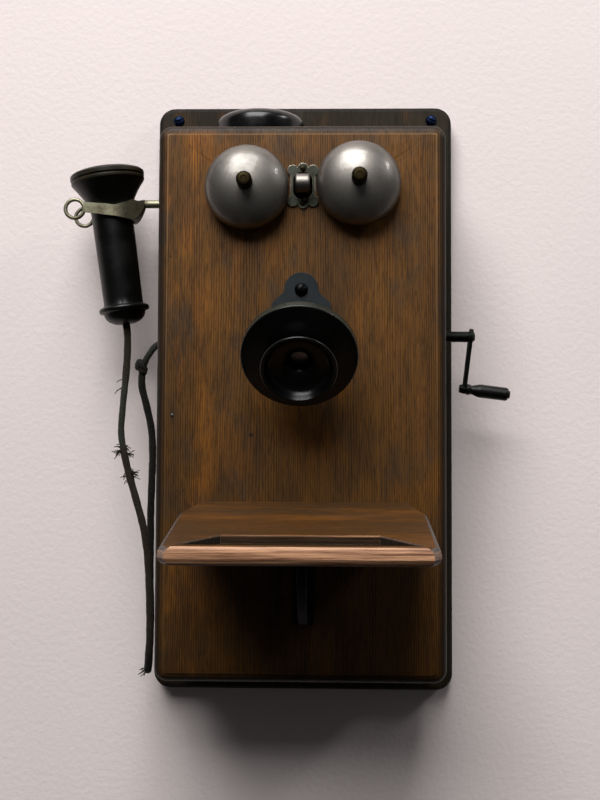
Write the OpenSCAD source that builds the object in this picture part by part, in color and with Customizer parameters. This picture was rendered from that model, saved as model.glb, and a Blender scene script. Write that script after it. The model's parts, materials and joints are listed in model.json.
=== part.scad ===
// Magneto wall telephone in an oak case, all lengths in millimetres.
// X points right and Z up as the telephone hangs, and its front faces -Y.
// The origin is the middle of the four wall screws, on the back of the backboard.
// A depth is a distance forward from the wall, so it is measured along -Y.

/* [Backboard] */
// Width of the backboard
board_w = 290; // [275:1:330]
// Height of the backboard
board_h = 571; // [560:1:620]
// Thickness of the backboard
board_t = 20; // [14:0.5:26]
// Radius of the backboard's corners
board_corner_r = 16; // [8:1:24]
// Radius of the backboard's front edge
board_edge_r = 5; // [2:0.5:7]
// Distance of the wall screws from the board's left and right edges
mount_inset_x = 20; // [17:0.5:32]
// Distance of the wall screws from the board's top and bottom edges
mount_inset_z = 13.5; // [12:0.5:20]
// Diameter of the wall screw holes
mount_hole_d = 5.5; // [4:0.1:8]

/* [Cabinet] */
// Outer width of the box behind the door
box_w = 248; // [240:1:262]
// Outer height of the box
box_h = 485; // [470:1:500]
// Depth of the box from the backboard to its front edges
box_depth = 87.6; // [84:0.1:100]
// Thickness of the box's boards
box_wall = 12; // [9:0.5:14]
// How far the box's middle lies below the wall screws' middle
box_drop = 8; // [0:1:20]
// Height of the generator shelf's top below the wall screws' middle
ledge_drop = 16; // [15:0.5:24]
// Thickness of the generator shelf
ledge_t = 12; // [8:0.5:16]

/* [Door] */
// Thickness of the door
door_t = 20; // [16:0.5:26]
// How far the door laps over the box all round
door_lip = 5; // [4:0.5:8]
// Radius of the door's corners
door_corner_r = 12; // [9:0.5:20]
// Radius of the door's rounded edge
door_edge_r = 7; // [3:0.5:8]
// Height of the small step where the rounded edge meets the flat front
door_step = 0.8; // [0.4:0.1:1.6]
// Width of the small step
door_step_w = 1; // [0.5:0.1:3]

/* [Hinges] */
// Length of each hinge
hinge_len = 50; // [36:1:64]
// Thickness of a hinge leaf
hinge_leaf_t = 1.2; // [0.8:0.1:1.6]
// Outer radius of the hinge knuckles
knuckle_r = 2.3; // [2:0.1:2.6]
// Diameter of the hinge pins
hinge_pin_d = 2.2; // [1.6:0.1:2.6]
// Distance of a hinge's middle from the box's top or bottom
hinge_inset = 70; // [50:1:110]
// Gap between neighbouring knuckles
knuckle_gap = 0.4; // [0.3:0.1:1]

/* [Gongs and ringer] */
// Diameter of each gong at its rim
gong_d = 75; // [66:0.5:80]
// Height of a gong from rim to crown
gong_h = 26; // [20:0.5:32]
// Thickness of the gong's metal
gong_wall = 1.8; // [1.2:0.1:2.6]
// Gap between the two gongs' rims
gong_gap = 24; // [20:0.5:28]
// Height of the left gong's middle above the wall screws' middle
gong_z = 180.5; // [172:0.5:186]
// How much higher the right gong sits
gong_rise = 3.5; // [0:0.5:5]
// Distance of the gong's rim from the door
gong_clear = 8; // [6:0.5:12]
// Sideways place of the ringer's middle
ringer_x = 1; // [-3:0.5:3]
// Diameter of the gong post's foot
post_d = 14; // [10:0.5:18]
// Diameter of the gong post's stud
stud_d = 6; // [4:0.5:8]
// Diameter of the gong nuts
gong_nut_d = 13.5; // [9:0.5:16]
// Height of the gong nuts
gong_nut_h = 15; // [8:0.5:18]
// How much higher the hammer sits than the middle of the two gongs
hammer_rise = 1.5; // [0:0.5:4]
// Diameter of the hammer
hammer_d = 17; // [13:0.5:19]
// Width of the hammer, gong to gong
hammer_w = 13; // [8:0.5:13]
// Diameter of the clapper rod
rod_d = 3; // [2:0.1:4]
// Height of the clapper's pivot above the wall screws' middle
clapper_z = 138; // [134:0.5:140]
// Width of the slot that the clapper rod passes through
slot_w = 17; // [15:0.5:18]
// Height of the slot that the clapper rod passes through
slot_h = 25; // [22:0.5:26]
// Thickness of the hammer plate
plate_t = 2; // [1:0.1:3]
// Diameter of the ringer coils
ring_coil_d = 22; // [18:0.5:24]
// Length of the ringer coils
ring_coil_l = 32; // [26:0.5:34]
// Distance between the ringer coils' middles
ring_coil_gap = 36; // [28:0.5:44]
// Least gap between the ringer's armature and its coils
armature_gap = 3.6; // [3.3:0.1:5]

/* [Transmitter] */
// Depth of the transmitter's pivot from the wall
tilt_depth = 160; // [157:0.5:176]
// Height of the transmitter's pivot above the wall screws' middle
tilt_z = 48; // [44:0.5:56]
// Angle that the transmitter faces down at rest
tx_tilt = 35; // [25:1:38]
// Distance from the pivot to the front of the transmitter's rim
tx_reach = 37; // [36:0.2:44]
// Diameter of the transmitter's face
face_d = 99; // [90:0.5:104]
// Thickness of the face's rim
face_rim_t = 7; // [5:0.5:9]
// How far the face swells forward of its rim
face_swell = 5; // [3:0.5:7]
// Diameter of the transmitter's case behind the face
tx_case_d = 80; // [72:0.5:86]
// Thickness of the transmitter's metal
tx_wall = 2.5; // [1.6:0.1:3]
// Diameter of the mouthpiece at its rim
mouth_d = 64; // [56:0.5:70]
// Distance of the mouthpiece's rim forward of the face's rim
mouth_h = 21; // [17:0.5:28]
// Diameter of the mouthpiece's throat
throat_d = 15; // [11:0.5:18]
// Width of the bracket where it is widest
bracket_w = 53; // [44:1:60]
// Width of the bracket's round top
bracket_top_w = 30.5; // [20:0.5:36]
// Height of the bracket's screw above the wall screws' middle
bracket_screw_z = 90.5; // [86:0.5:96]
// Thickness of the bracket's plate
bracket_t = 4; // [3:0.5:6]
// Diameter of the bolt that the transmitter tilts on
tilt_bolt_d = 6; // [4:0.5:8]

/* [Writing shelf] */
// Width of the writing shelf
desk_w = 212; // [196:1:230]
// How far the shelf stands out from the door
desk_l = 169; // [150:1:180]
// Thickness of the shelf
desk_t = 14.4; // [12:0.2:18]
// Height of the shelf's top at the door, below the wall screws' middle
desk_drop = 97.3; // [90:0.5:110]
// Slope of the shelf down towards its front
desk_slope = 7.6; // [4:0.2:10]
// Sideways place of the shelf's middle
desk_x = 3; // [-4:0.5:4]
// How much narrower the shelf is at the door, on each side
desk_clip_w = 11; // [6:0.5:30]
// Length of the shelf's slanted back corners
desk_clip_l = 45; // [30:1:60]
// Width of the bevel along the shelf's sides
desk_bevel = 5; // [3:0.5:7]
// Width of the small bevel along the shelf's front
desk_nose = 2.5; // [1.5:0.5:5]
// Width of the flat wood between the front bevel and the pencil trough
trough_lip = 5.5; // [4:0.5:9]
// Width of the pencil trough, back to front
trough_w = 33; // [24:1:38]
// Depth of the pencil trough
trough_depth = 7; // [5:0.5:8]
// Length of the pencil trough's front edge
trough_l = 189; // [160:1:192]
// Width of the shelf's iron bracket
stay_w = 19; // [14:1:28]
// Thickness of the iron bracket's strap
stay_t = 4; // [3:0.5:6]
// Height of the iron bracket on the door
stay_h = 92; // [80:1:110]
// Length of the iron bracket under the shelf
stay_l = 90; // [70:1:110]

/* [Generator and crank] */
// Depth of the crank shaft from the wall
crank_depth = 65; // [64:0.5:66]
// Height of the crank shaft above the wall screws' middle
crank_z = 54; // [52:0.5:58]
// Diameter of the crank shaft
crank_shaft_d = 10; // [7:0.5:11]
// Distance of the crank's arm from the box's side
crank_out = 33.8; // [31:0.2:40]
// Length of the crank's arm between its two holes
crank_r = 49.5; // [38:0.5:54]
// Lean of the crank's arm towards the box
crank_lean = 7; // [0:1:10]
// Thickness of the crank's arm
arm_t = 3.6; // [3:0.2:6]
// Length of the crank's grip
grip_l = 38.5; // [34:0.5:50]
// Largest diameter of the crank's grip
grip_d = 12.5; // [10:0.5:16]
// Diameter of the pin that the grip turns on
grip_pin_d = 4; // [3:0.2:5]
// Tooth size of the gears, pitch diameter divided by number of teeth
gear_module = 1.25; // [1.25:0.05:1.3]
// Number of teeth on the drive gear
gear_teeth = 60; // [56:1:60]
// Number of teeth on the pinion
pinion_teeth = 12; // [11:1:12]
// Thickness of the gears
gear_t = 6; // [4:0.5:7]
// Play between meshing teeth
gear_play = 0.35; // [0.2:0.05:0.5]
// Number of horseshoe magnets side by side
magnet_count = 5; // [3:1:5]
// Width of one magnet bar
magnet_w = 13; // [10:0.5:13.2]
// Thickness of a magnet bar
magnet_t = 9; // [6:0.5:9]
// Gap between neighbouring magnets
magnet_gap = 0.5; // [0.3:0.1:1]
// Distance between the inner faces of a magnet's legs
magnet_inner_w = 60; // [56:0.5:61]
// Diameter of the generator's armature
rotor_d = 36; // [30:0.5:38]
// Running gap between the armature and its pole pieces
rotor_gap = 0.6; // [0.4:0.1:1.5]
// Thickness of the generator's end plates
end_plate_t = 3; // [2:0.5:4]

/* [Hook switch] */
// Height of the hook's stem above the wall screws' middle
hook_z = 180; // [176:0.5:184]
// Distance of the hook's pivot inside the box's side
hook_pivot_in = 32; // [28:1:38]
// Diameter of the hook's stem
stem_d = 7.6; // [6:0.2:9]
// Distance from the box's side to the fork's outer face
fork_out = 28; // [24:1:34]
// Thickness of the fork's strap
fork_t = 3; // [2:0.2:4]
// Height of the strap where the stem joins it
fork_h = 18; // [14:0.5:20]
// Height of the strap beside the receiver
fork_side_h = 11; // [8:0.5:13]
// Outer diameter of the curled ends
curl_d = 21; // [17:0.5:24]
// Thickness of the curled ends
curl_t = 3.6; // [2.6:0.2:4.4]
// Length of the fork from the receiver's middle to the curls' middles
fork_reach = 34; // [30:0.5:40]
// Diameter of the hook's pivot pin
hook_pin_d = 5; // [4:0.2:6]

/* [Receiver] */
// Angle that the receiver leans by as it hangs
rx_lean = 8; // [0:1:10]
// Distance from the box's side to the receiver's middle at the fork
rx_out = 58.8; // [56:0.2:64]
// Length of the receiver above the fork
rx_above = 39; // [36:0.5:42]
// Length of the receiver below the fork
rx_below = 108.5; // [100:0.5:116]
// Diameter of the ear cap
ear_cap_d = 70; // [62:0.5:74]
// Height of the ear cap's rim
ear_cap_h = 11; // [8:0.5:14]
// Diameter of the receiver's body at the fork
rx_neck_d = 39; // [34:0.5:42]
// Diameter of the receiver's body at its lower end
rx_low_d = 36.6; // [32:0.5:40]
// Diameter of the bead near the receiver's lower end
rx_bead_d = 47.4; // [42:0.5:52]
// Thickness of the receiver's shell
rx_wall = 3; // [2:0.5:4]
// Diameter of the hole in the ear cap
ear_hole_d = 11; // [8:0.5:14]

/* [Cord and roof] */
// Diameter of the receiver's cord
cord_d = 6.2; // [5:0.2:7]
// Diameter of the black cover on the roof
dome_d = 84; // [70:1:86]
// Height of the black cover
dome_h = 32; // [22:0.5:36]
// Height of the insulating base under the cover
dome_base_h = 6; // [4:0.5:10]
// Distance of the cover's middle to the left of the middle of the box
dome_left = 41; // [20:1:60]

/* [Battery and coil] */
// Diameter of a dry cell
cell_d = 64; // [58:0.5:66]
// Height of a dry cell without its terminals
cell_h = 158; // [140:1:165]
// Diameter of the induction coil's winding
coil_d = 26; // [20:0.5:30]
// Length of the induction coil between its cheeks
coil_l = 76; // [60:1:84]

/* [Hidden] */

$fn = 64;
HULL_FN = 32;
EPS = 0.01;
FIT = 0.05;
SEAT = 0.3;

OAK = "#7a4a26";
OAK_DARK = "#5a3418";
NICKEL = "#9a958c";
BRASS = "#8d7040";
IRON = "#23252a";
BLACK = "#141414";
COPPER = "#8a4a2a";

mount_dx = board_w - 2 * mount_inset_x;
mount_dz = board_h - 2 * mount_inset_z;
box_front = board_t + box_depth;
box_top = box_h / 2 - box_drop;
box_bottom = -box_h / 2 - box_drop;
leaf_gap = 0.2;
door_gap = 2 * hinge_leaf_t + leaf_gap;
door_back = box_front + door_gap;
door_front = door_back + door_t;
inner_x = box_w / 2 - box_wall;
hinge_x = -box_w / 2 - knuckle_r - SEAT;
hinge_depth = box_front + door_gap / 2;
hinge_zs = [box_top - hinge_inset, box_bottom + hinge_inset];

gong_dx = (gong_d + gong_gap) / 2;
gong_xs = [ringer_x - gong_dx, ringer_x + gong_dx];
gong_zs = [gong_z, gong_z + gong_rise];
rim_depth = door_front + gong_clear;
hammer_z = gong_z + gong_rise / 2 + hammer_rise;
hammer_depth = rim_depth + 5;
rod_depth = door_back - 12;

// Puts something at a place given by its X, its depth from the wall and its Z.
module at(x, depth, z) {
    translate([x, -depth, z]) children();
}

// Extrudes a drawing in X and Z forward from a depth.
module forward(depth, thickness) {
    translate([0, -depth, 0]) rotate([90, 0, 0]) linear_extrude(thickness) children();
}

// Extrudes a drawing in Y and Z to the right, starting at x.
module rightward(x, thickness) {
    translate([x, 0, 0]) rotate([90, 0, 90]) linear_extrude(thickness) children();
}

// A rod along -Y whose back end is at the given depth.
module rod_forward(x, depth, z, d, l) {
    at(x, depth, z) rotate([90, 0, 0]) cylinder(d = d, h = l);
}

// A rod along +X that starts at x.
module rod_right(x, depth, z, d, l) {
    at(x, depth, z) rotate([0, 90, 0]) cylinder(d = d, h = l);
}

// A flat bar given by its left, right, back depth, front depth, bottom and top.
module bar(x0, x1, d0, d1, z0, z1) {
    translate([x0, -d1, z0]) cube([x1 - x0, d1 - d0, z1 - z0]);
}

// One corner of a board with a rounded front edge, as a disc.
module corner_disc(r, t, edge_r) {
    arc = [for (a = [0 : 15 : 90]) [r - edge_r + edge_r * cos(a), t - edge_r + edge_r * sin(a)]];
    rotate_extrude($fn = HULL_FN) polygon(concat([[0, 0], [r, 0]], arc, [[0, t]]));
}

// A board that stands upright, with round corners and a rounded front edge.
module rounded_board(w, h, t, corner_r, edge_r, depth, mid_z) {
    at(0, depth, mid_z) rotate([90, 0, 0]) hull() {
        for (sx = [-1, 1], sz = [-1, 1])
            translate([sx * (w / 2 - corner_r), sz * (h / 2 - corner_r), 0]) corner_disc(corner_r, t, edge_r);
    }
}

// The outline of a rectangle with true round corners.
module rounded_rect(w, h, r) {
    square([w - 2 * r, h], center = true);
    square([w, h - 2 * r], center = true);
    for (sx = [-1, 1], sz = [-1, 1])
        translate([sx * (w / 2 - r), sz * (h / 2 - r)]) circle(r);
}

// An upright slot with round ends, as wide as w and as high as h.
module upright_slot(w, h) {
    square([w, h - w], center = true);
    for (s = [-1, 1]) translate([0, s * (h - w) / 2]) circle(d = w);
}

// The wooden case

module backboard() {
    color(OAK_DARK) difference() {
        rounded_board(board_w, board_h, board_t, board_corner_r, board_edge_r, 0, 0);
        for (sx = [-1, 1], sz = [-1, 1])
            at(sx * mount_dx / 2, -EPS, sz * mount_dz / 2)
                rotate([90, 0, 0]) cylinder(d = mount_hole_d, h = board_t + 2 * EPS);
    }
}

stem_slot_h = stem_d + 1 + (box_wall + hook_pivot_in) * tan(12);
crank_bush_d = crank_shaft_d + 7;
cord_bush_d = cord_d + 5;
cord_in_z = 46;
cord_depth = 65;

module left_side() {
    color(OAK) difference() {
        bar(-box_w / 2, -inner_x, board_t, box_front, box_bottom, box_top);
        at(-box_w / 2 - 1, crank_depth, hook_z - stem_d / 2 - 0.5)
            translate([0, -stem_d / 2 - 0.6, 0]) cube([box_wall + 2, stem_d + 1.2, stem_slot_h]);
        rod_right(-box_w / 2 - 1, cord_depth, cord_in_z, cord_bush_d, box_wall + 2);
    }
}

module right_side() {
    color(OAK) difference() {
        bar(inner_x, box_w / 2, board_t, box_front, box_bottom, box_top);
        rod_right(inner_x - 1, crank_depth, crank_z, crank_bush_d, box_wall + 2);
    }
}

module top_board() {
    color(OAK) difference() {
        bar(-inner_x, inner_x, board_t, box_front, box_top - box_wall, box_top);
        for (s = [-1, 1])
            at(-dome_left + s * post_pair_dx / 2, crank_depth, box_top - box_wall - 1)
                cylinder(d = cover_post_d + 0.4, h = box_wall + 2);
    }
}

module bottom_board() {
    color(OAK) bar(-inner_x, inner_x, board_t, box_front, box_bottom, box_bottom + box_wall);
}

ledge_front = box_front - 6;

module generator_shelf() {
    color(OAK) bar(-inner_x, inner_x, board_t, ledge_front, -ledge_drop - ledge_t, -ledge_drop);
}

// The cover on the roof and the line terminals under it

cover_wall = 3;
cover_post_d = 5;
post_pair_dx = 30;

module cover_base() {
    color("#e8e4d8") difference() {
        at(-dome_left, crank_depth, box_top) cylinder(d = dome_d - 2 * cover_wall - 1, h = dome_base_h);
        for (s = [-1, 1])
            at(-dome_left + s * post_pair_dx / 2, crank_depth, box_top - 1)
                cylinder(d = cover_post_d + 0.4, h = dome_base_h + 2);
    }
}

// Half profile of a cover with a flat top and full round shoulders.
function shoulder(r, h, flank) = [for (a = [0 : 10 : 90])
    [r * pow(cos(a), 2 / 3), flank + (h - flank) * pow(sin(a), 2 / 3)]];

module terminal_cover() {
    r = dome_d / 2;
    flank = dome_h * 0.5;
    outer = shoulder(r, dome_h, flank);
    inner = shoulder(r - cover_wall, dome_h - cover_wall, flank);
    inner_back = [for (i = [len(inner) - 1 : -1 : 0]) inner[i]];
    color(BLACK) at(-dome_left, crank_depth, box_top)
        rotate_extrude() polygon(concat([[r - cover_wall, 0], [r, 0]], outer, inner_back));
}

// The hinges and the catch

knuckle_len = (hinge_len - 2 * knuckle_gap) / 3;

// A hinge leaf with its knuckles, drawn on the hinge's own axis.
module leaf(offsets, depth0, leaf_z0, leaf_h) {
    bar(hinge_x, -inner_x - 1, depth0, depth0 + hinge_leaf_t, leaf_z0, leaf_z0 + leaf_h);
    for (z = offsets)
        at(hinge_x, hinge_depth, z) cylinder(r = knuckle_r, h = knuckle_len);
}

module hinge_bore(mid) {
    at(hinge_x, hinge_depth, mid - hinge_len / 2 - 1) cylinder(d = hinge_pin_d + 2 * FIT, h = hinge_len + 2);
}

module box_hinge_leaves() {
    color(BRASS) for (mid = hinge_zs) difference() {
        leaf([mid - hinge_len / 2, mid + hinge_len / 2 - knuckle_len],
            box_front, mid - hinge_len / 2, hinge_len);
        at(hinge_x, hinge_depth, mid - knuckle_len / 2 - knuckle_gap)
            cylinder(r = knuckle_r + SEAT, h = knuckle_len + 2 * knuckle_gap);
        hinge_bore(mid);
    }
}

module door_hinge_leaves() {
    color(BRASS) for (mid = hinge_zs) difference() {
        leaf([mid - knuckle_len / 2], door_back - hinge_leaf_t, mid - hinge_len / 2, hinge_len);
        for (z = [mid - hinge_len / 2 - 1, mid + knuckle_len / 2])
            at(hinge_x, hinge_depth, z) cylinder(r = knuckle_r + SEAT, h = knuckle_len + knuckle_gap + 1);
        hinge_bore(mid);
    }
}

module hinge_pins() {
    color(BRASS) for (mid = hinge_zs)
        at(hinge_x, hinge_depth, mid - hinge_len / 2) cylinder(d = hinge_pin_d, h = hinge_len);
}

catch_z = -40;
catch_h = 16;
catch_l = 32;
catch_lip = 9;
catch_pin_d = 6;

// The catch is an angle of sheet brass inside the box, with a pin that meets the door.
module door_catch() {
    front = box_front - 2;
    low = catch_z - catch_h / 2;
    high = catch_z + catch_h / 2;
    color(BRASS) {
        bar(inner_x - hinge_leaf_t, inner_x, front - catch_l, front, low, high);
        bar(inner_x - catch_lip, inner_x, front, front + hinge_leaf_t, low, high);
        rod_forward(inner_x - catch_lip / 2, front, catch_z, catch_pin_d, door_back - SEAT - front);
    }
}

// The door and what is fixed to its front

gong_post_hole_d = stud_d + 2;
post_sink = 13.5;

module door_panel() {
    w = box_w + 2 * door_lip;
    h = box_h + 2 * door_lip;
    inset = door_edge_r + door_step_w;
    color(OAK) difference() {
        union() {
            rounded_board(w, h, door_t - door_step, door_corner_r, door_edge_r, door_back, -box_drop);
            at(0, 0, -box_drop) forward(door_front - door_step - EPS, door_step + EPS)
                rounded_rect(w - 2 * inset, h - 2 * inset, door_corner_r - door_edge_r);
        }
        for (mid = hinge_zs)
            at(hinge_x, hinge_depth, mid - hinge_len / 2 - 1)
                cylinder(r = knuckle_r + 2 * SEAT, h = hinge_len + 2);
        translate([ringer_x, 0, hammer_z]) forward(door_back - 1, door_t + 2) upright_slot(slot_w, slot_h);
        for (i = [0, 1])
            rod_forward(gong_xs[i], door_front - post_sink - 0.5, gong_zs[i],
                gong_post_hole_d, post_sink + 2);
    }
}

gong_skirt = 4;

// Half profile of a gong's outside or inside: an ellipse above a short straight skirt.
function dome(r, h, skirt) = [for (a = [0 : 5 : 90]) [r * cos(a), skirt + (h - skirt) * sin(a)]];

module gong(x, z) {
    r = gong_d / 2;
    outer = dome(r, gong_h, gong_skirt);
    inner = dome(r - gong_wall, gong_h - gong_wall, gong_skirt);
    inner_back = [for (i = [len(inner) - 1 : -1 : 0]) inner[i]];
    at(x, rim_depth, z) rotate([90, 0, 0]) difference() {
        rotate_extrude() polygon(concat([[r - gong_wall, 0], [r, 0]], outer, inner_back));
        translate([0, 0, gong_h / 2]) cylinder(d = stud_d + 2 * FIT, h = gong_h);
    }
}

module gong_left() {
    color(NICKEL) gong(gong_xs[0], gong_zs[0]);
}

module gong_right() {
    color(NICKEL) gong(gong_xs[1], gong_zs[1]);
}

// How far the gong's curved inside drops from its crown to the post's edge.
post_share = post_d / (gong_d - 2 * gong_wall);
crown_drop = (gong_h - gong_wall - gong_skirt) * (1 - sqrt(1 - pow(post_share, 2))) + 0.03;
post_l = gong_clear + gong_h - gong_wall - crown_drop;

module gong_posts() {
    color(BRASS) for (i = [0, 1]) {
        rod_forward(gong_xs[i], door_front, gong_zs[i], post_d, post_l);
        rod_forward(gong_xs[i], door_front - post_sink, gong_zs[i], gong_post_hole_d - 0.2, post_sink + 1);
        rod_forward(gong_xs[i], door_front, gong_zs[i], stud_d, gong_clear + gong_h + gong_nut_h - 3);
    }
}

module gong_nuts() {
    crown = rim_depth + gong_h;
    r = gong_nut_d / 2;
    edge = 2;
    color(BRASS) for (i = [0, 1]) difference() {
        at(gong_xs[i], crown, gong_zs[i]) rotate([90, 0, 0]) rotate_extrude()
            polygon([[0, 0], [r, 0], [r, gong_nut_h - edge], [r - edge / 3, gong_nut_h - edge / 3],
                [r - edge, gong_nut_h], [0, gong_nut_h]]);
        rod_forward(gong_xs[i], crown - 1, gong_zs[i], stud_d + 2 * FIT, gong_nut_h - 1.5);
    }
}

plate_lobe_r = 5;
plate_screw_dz = slot_h / 2 + 3;
side_lobe_x = slot_w / 2 + 0.5;
side_lobe_z = plate_screw_dz - plate_lobe_r / 3;

module hammer_plate() {
    color(NICKEL) difference() {
        translate([ringer_x, 0, hammer_z]) forward(door_front, plate_t) {
            square([slot_w + plate_lobe_r, 2 * plate_screw_dz - plate_lobe_r], center = true);
            for (s = [-1, 1]) {
                translate([0, s * plate_screw_dz]) circle(plate_lobe_r);
                for (k = [-1, 1]) translate([k * side_lobe_x, s * side_lobe_z]) circle(plate_lobe_r);
            }
        }
        translate([ringer_x, 0, hammer_z]) forward(door_front - 1, plate_t + 2) upright_slot(slot_w, slot_h);
    }
}

// The ringer behind the door, and its clapper

armature_t = 4;
coil_top_z = clapper_z - armature_t / 2 - armature_gap;
armature_l = ring_coil_gap + 16;
ring_pin_d = 4;
clapper_hub_d = 8;
rod_sink_z = 2.2;
ring_depth = door_back - 1 - ring_coil_d / 2;

ring_strap_w = 16;
ring_strap_t = 3;
ring_yoke_t = 5;
ring_back = rod_depth - 10;
ring_foot_z = coil_top_z - ring_coil_l - ring_yoke_t;

// A steel strap bent to a U, whose two legs carry the clapper's pivot, and the yoke under the coils.
module ringer_frame() {
    half = ring_strap_w / 2;
    top = clapper_z + half - 1;
    color(IRON) difference() {
        union() {
            for (back = [ring_back, door_back - ring_strap_t])
                bar(ringer_x - half, ringer_x + half, back, back + ring_strap_t, ring_foot_z, top);
            bar(ringer_x - half, ringer_x + half, ring_back, door_back,
                ring_foot_z - ring_strap_t, ring_foot_z);
            bar(ringer_x - ring_coil_gap / 2 - half, ringer_x + ring_coil_gap / 2 + half,
                ring_depth - half, ring_depth + half, ring_foot_z, ring_foot_z + ring_yoke_t);
        }
        rod_forward(ringer_x, ring_back - 1, clapper_z, ring_pin_d + 2 * FIT, door_back - ring_back + 2);
    }
}

module ringer_coils() {
    cheek_h = 2;
    color(COPPER) for (s = [-1, 1])
        at(ringer_x + s * ring_coil_gap / 2, ring_depth, coil_top_z - ring_coil_l) {
            cylinder(d = ring_coil_d - 3, h = ring_coil_l - cheek_h);
            cylinder(d = ring_coil_d, h = cheek_h);
            translate([0, 0, ring_coil_l - 2 * cheek_h]) cylinder(d = ring_coil_d, h = cheek_h);
            cylinder(d = coil_core_d, h = ring_coil_l);
        }
}

ring_magnet_w = 14;
ring_magnet_t = 5;

// The permanent magnet lies on the frame's back and bends forward above the armature.
module ringer_magnet() {
    left = ringer_x - ring_magnet_w / 2;
    right = ringer_x + ring_magnet_w / 2;
    top = clapper_z + 14;
    color(IRON) {
        bar(left, right, ring_back - ring_magnet_t, ring_back, ring_foot_z - ring_strap_t, top);
        bar(left, right, ring_back - ring_magnet_t, ring_back + 6, top, top + ring_magnet_t);
    }
}

module clapper_armature() {
    color(IRON) difference() {
        union() {
            bar(ringer_x - armature_l / 2, ringer_x + armature_l / 2,
                rod_depth - 5, rod_depth + 5, clapper_z - armature_t / 2, clapper_z + armature_t / 2);
            rod_forward(ringer_x, rod_depth - 6.5, clapper_z, clapper_hub_d, 13);
            rod_forward(ringer_x, rod_depth - 10, clapper_z, ring_pin_d, door_back - rod_depth + 9.7);
        }
        at(ringer_x, rod_depth, clapper_z + rod_sink_z) cylinder(d = rod_d + 2 * FIT, h = clapper_hub_d);
    }
}

bend_r = 7;

module clapper_rod() {
    hammer_back = hammer_depth - hammer_d / 2;
    color(NICKEL) {
        at(ringer_x, rod_depth, clapper_z + rod_sink_z)
            cylinder(d = rod_d, h = hammer_z - bend_r - clapper_z - rod_sink_z);
        at(ringer_x, rod_depth + bend_r, hammer_z - bend_r) rotate([90, 0, 90])
            rotate_extrude(angle = 90) translate([bend_r, 0]) circle(d = rod_d, $fn = 24);
        rod_forward(ringer_x, rod_depth + bend_r, hammer_z, rod_d, hammer_back + 4 - rod_depth - bend_r);
    }
}

module hammer() {
    edge = 1.5;
    r = hammer_d / 2;
    color(NICKEL) difference() {
        at(ringer_x - hammer_w / 2, hammer_depth, hammer_z) rotate([0, 90, 0]) rotate_extrude()
            polygon([[0, 0], [r - edge, 0], [r, edge], [r, hammer_w - edge], [r - edge, hammer_w],
                [0, hammer_w]]);
        rod_forward(ringer_x, hammer_depth - r - 1, hammer_z, rod_d, 5);
    }
}

// The transmitter, its bracket and its bolt

ear_t = 5;
ear_foot_h = 32;
lug_w = 12;
ear_r = 7.5;
lug_play = 0.3;
bracket_foot_z = tilt_z - 23;
bracket_foot_clip = 8;
flare_z = bracket_screw_z - 14.5;

// Half width of the bracket's plate at height z, below its round top.
function bracket_half(z) = let (t = min(1, max(0, (bracket_screw_z - z) / (bracket_screw_z - flare_z))))
    bracket_top_w / 2 + (bracket_w - bracket_top_w) / 2 * t * t * (3 - 2 * t);

module transmitter_bracket() {
    steps = 8;
    half = bracket_w / 2;
    clip = bracket_foot_clip;
    ear_x = lug_w / 2 + lug_play;
    right_edge = [for (i = [0 : steps]) let (z = bracket_screw_z - i * (bracket_screw_z - flare_z) / steps)
        [bracket_half(z), z]];
    left_edge = [for (i = [steps : -1 : 0]) [-right_edge[i][0], right_edge[i][1]]];
    foot = [[half, bracket_foot_z + clip], [half - clip, bracket_foot_z], [clip - half, bracket_foot_z],
        [-half, bracket_foot_z + clip]];
    color(IRON) difference() {
        union() {
            forward(door_front, bracket_t) {
                polygon(concat(right_edge, foot, left_edge));
                translate([0, bracket_screw_z]) circle(d = bracket_top_w);
            }
            for (s = [-1, 1])
                rightward(s > 0 ? ear_x : -ear_x - ear_t, ear_t)
                    polygon([[-door_front, tilt_z + ear_foot_h / 2], [-door_front, tilt_z - ear_foot_h / 2],
                        [-tilt_depth, tilt_z - ear_r], [-tilt_depth, tilt_z + ear_r]]);
            for (s = [-1, 1])
                rod_right(s > 0 ? ear_x : -ear_x - ear_t, tilt_depth, tilt_z, 2 * ear_r, ear_t);
        }
        rod_right(-ear_x - ear_t - 1, tilt_depth, tilt_z, tilt_bolt_d + 2 * FIT, 2 * (ear_x + ear_t + 1));
    }
}

bolt_head_t = 4;

module tilt_bolt() {
    reach = lug_w / 2 + lug_play + ear_t;
    color(NICKEL) {
        rod_right(-reach, tilt_depth, tilt_z, tilt_bolt_d, 2 * reach);
        for (x = [reach, -reach - bolt_head_t])
            rod_right(x, tilt_depth, tilt_z, 2 * tilt_bolt_d, bolt_head_t);
    }
}

// Puts something in the transmitter's own frame: z points out of the mouthpiece
// and the origin is the middle of the face's rim.
module in_transmitter() {
    at(0, tilt_depth, tilt_z) rotate([90 + tx_tilt, 0, 0]) translate([0, 0, tx_reach]) children();
}

case_back = 21;
flange_z = tx_wall - face_rim_t;
face_hole_d = throat_d + 11;

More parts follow.
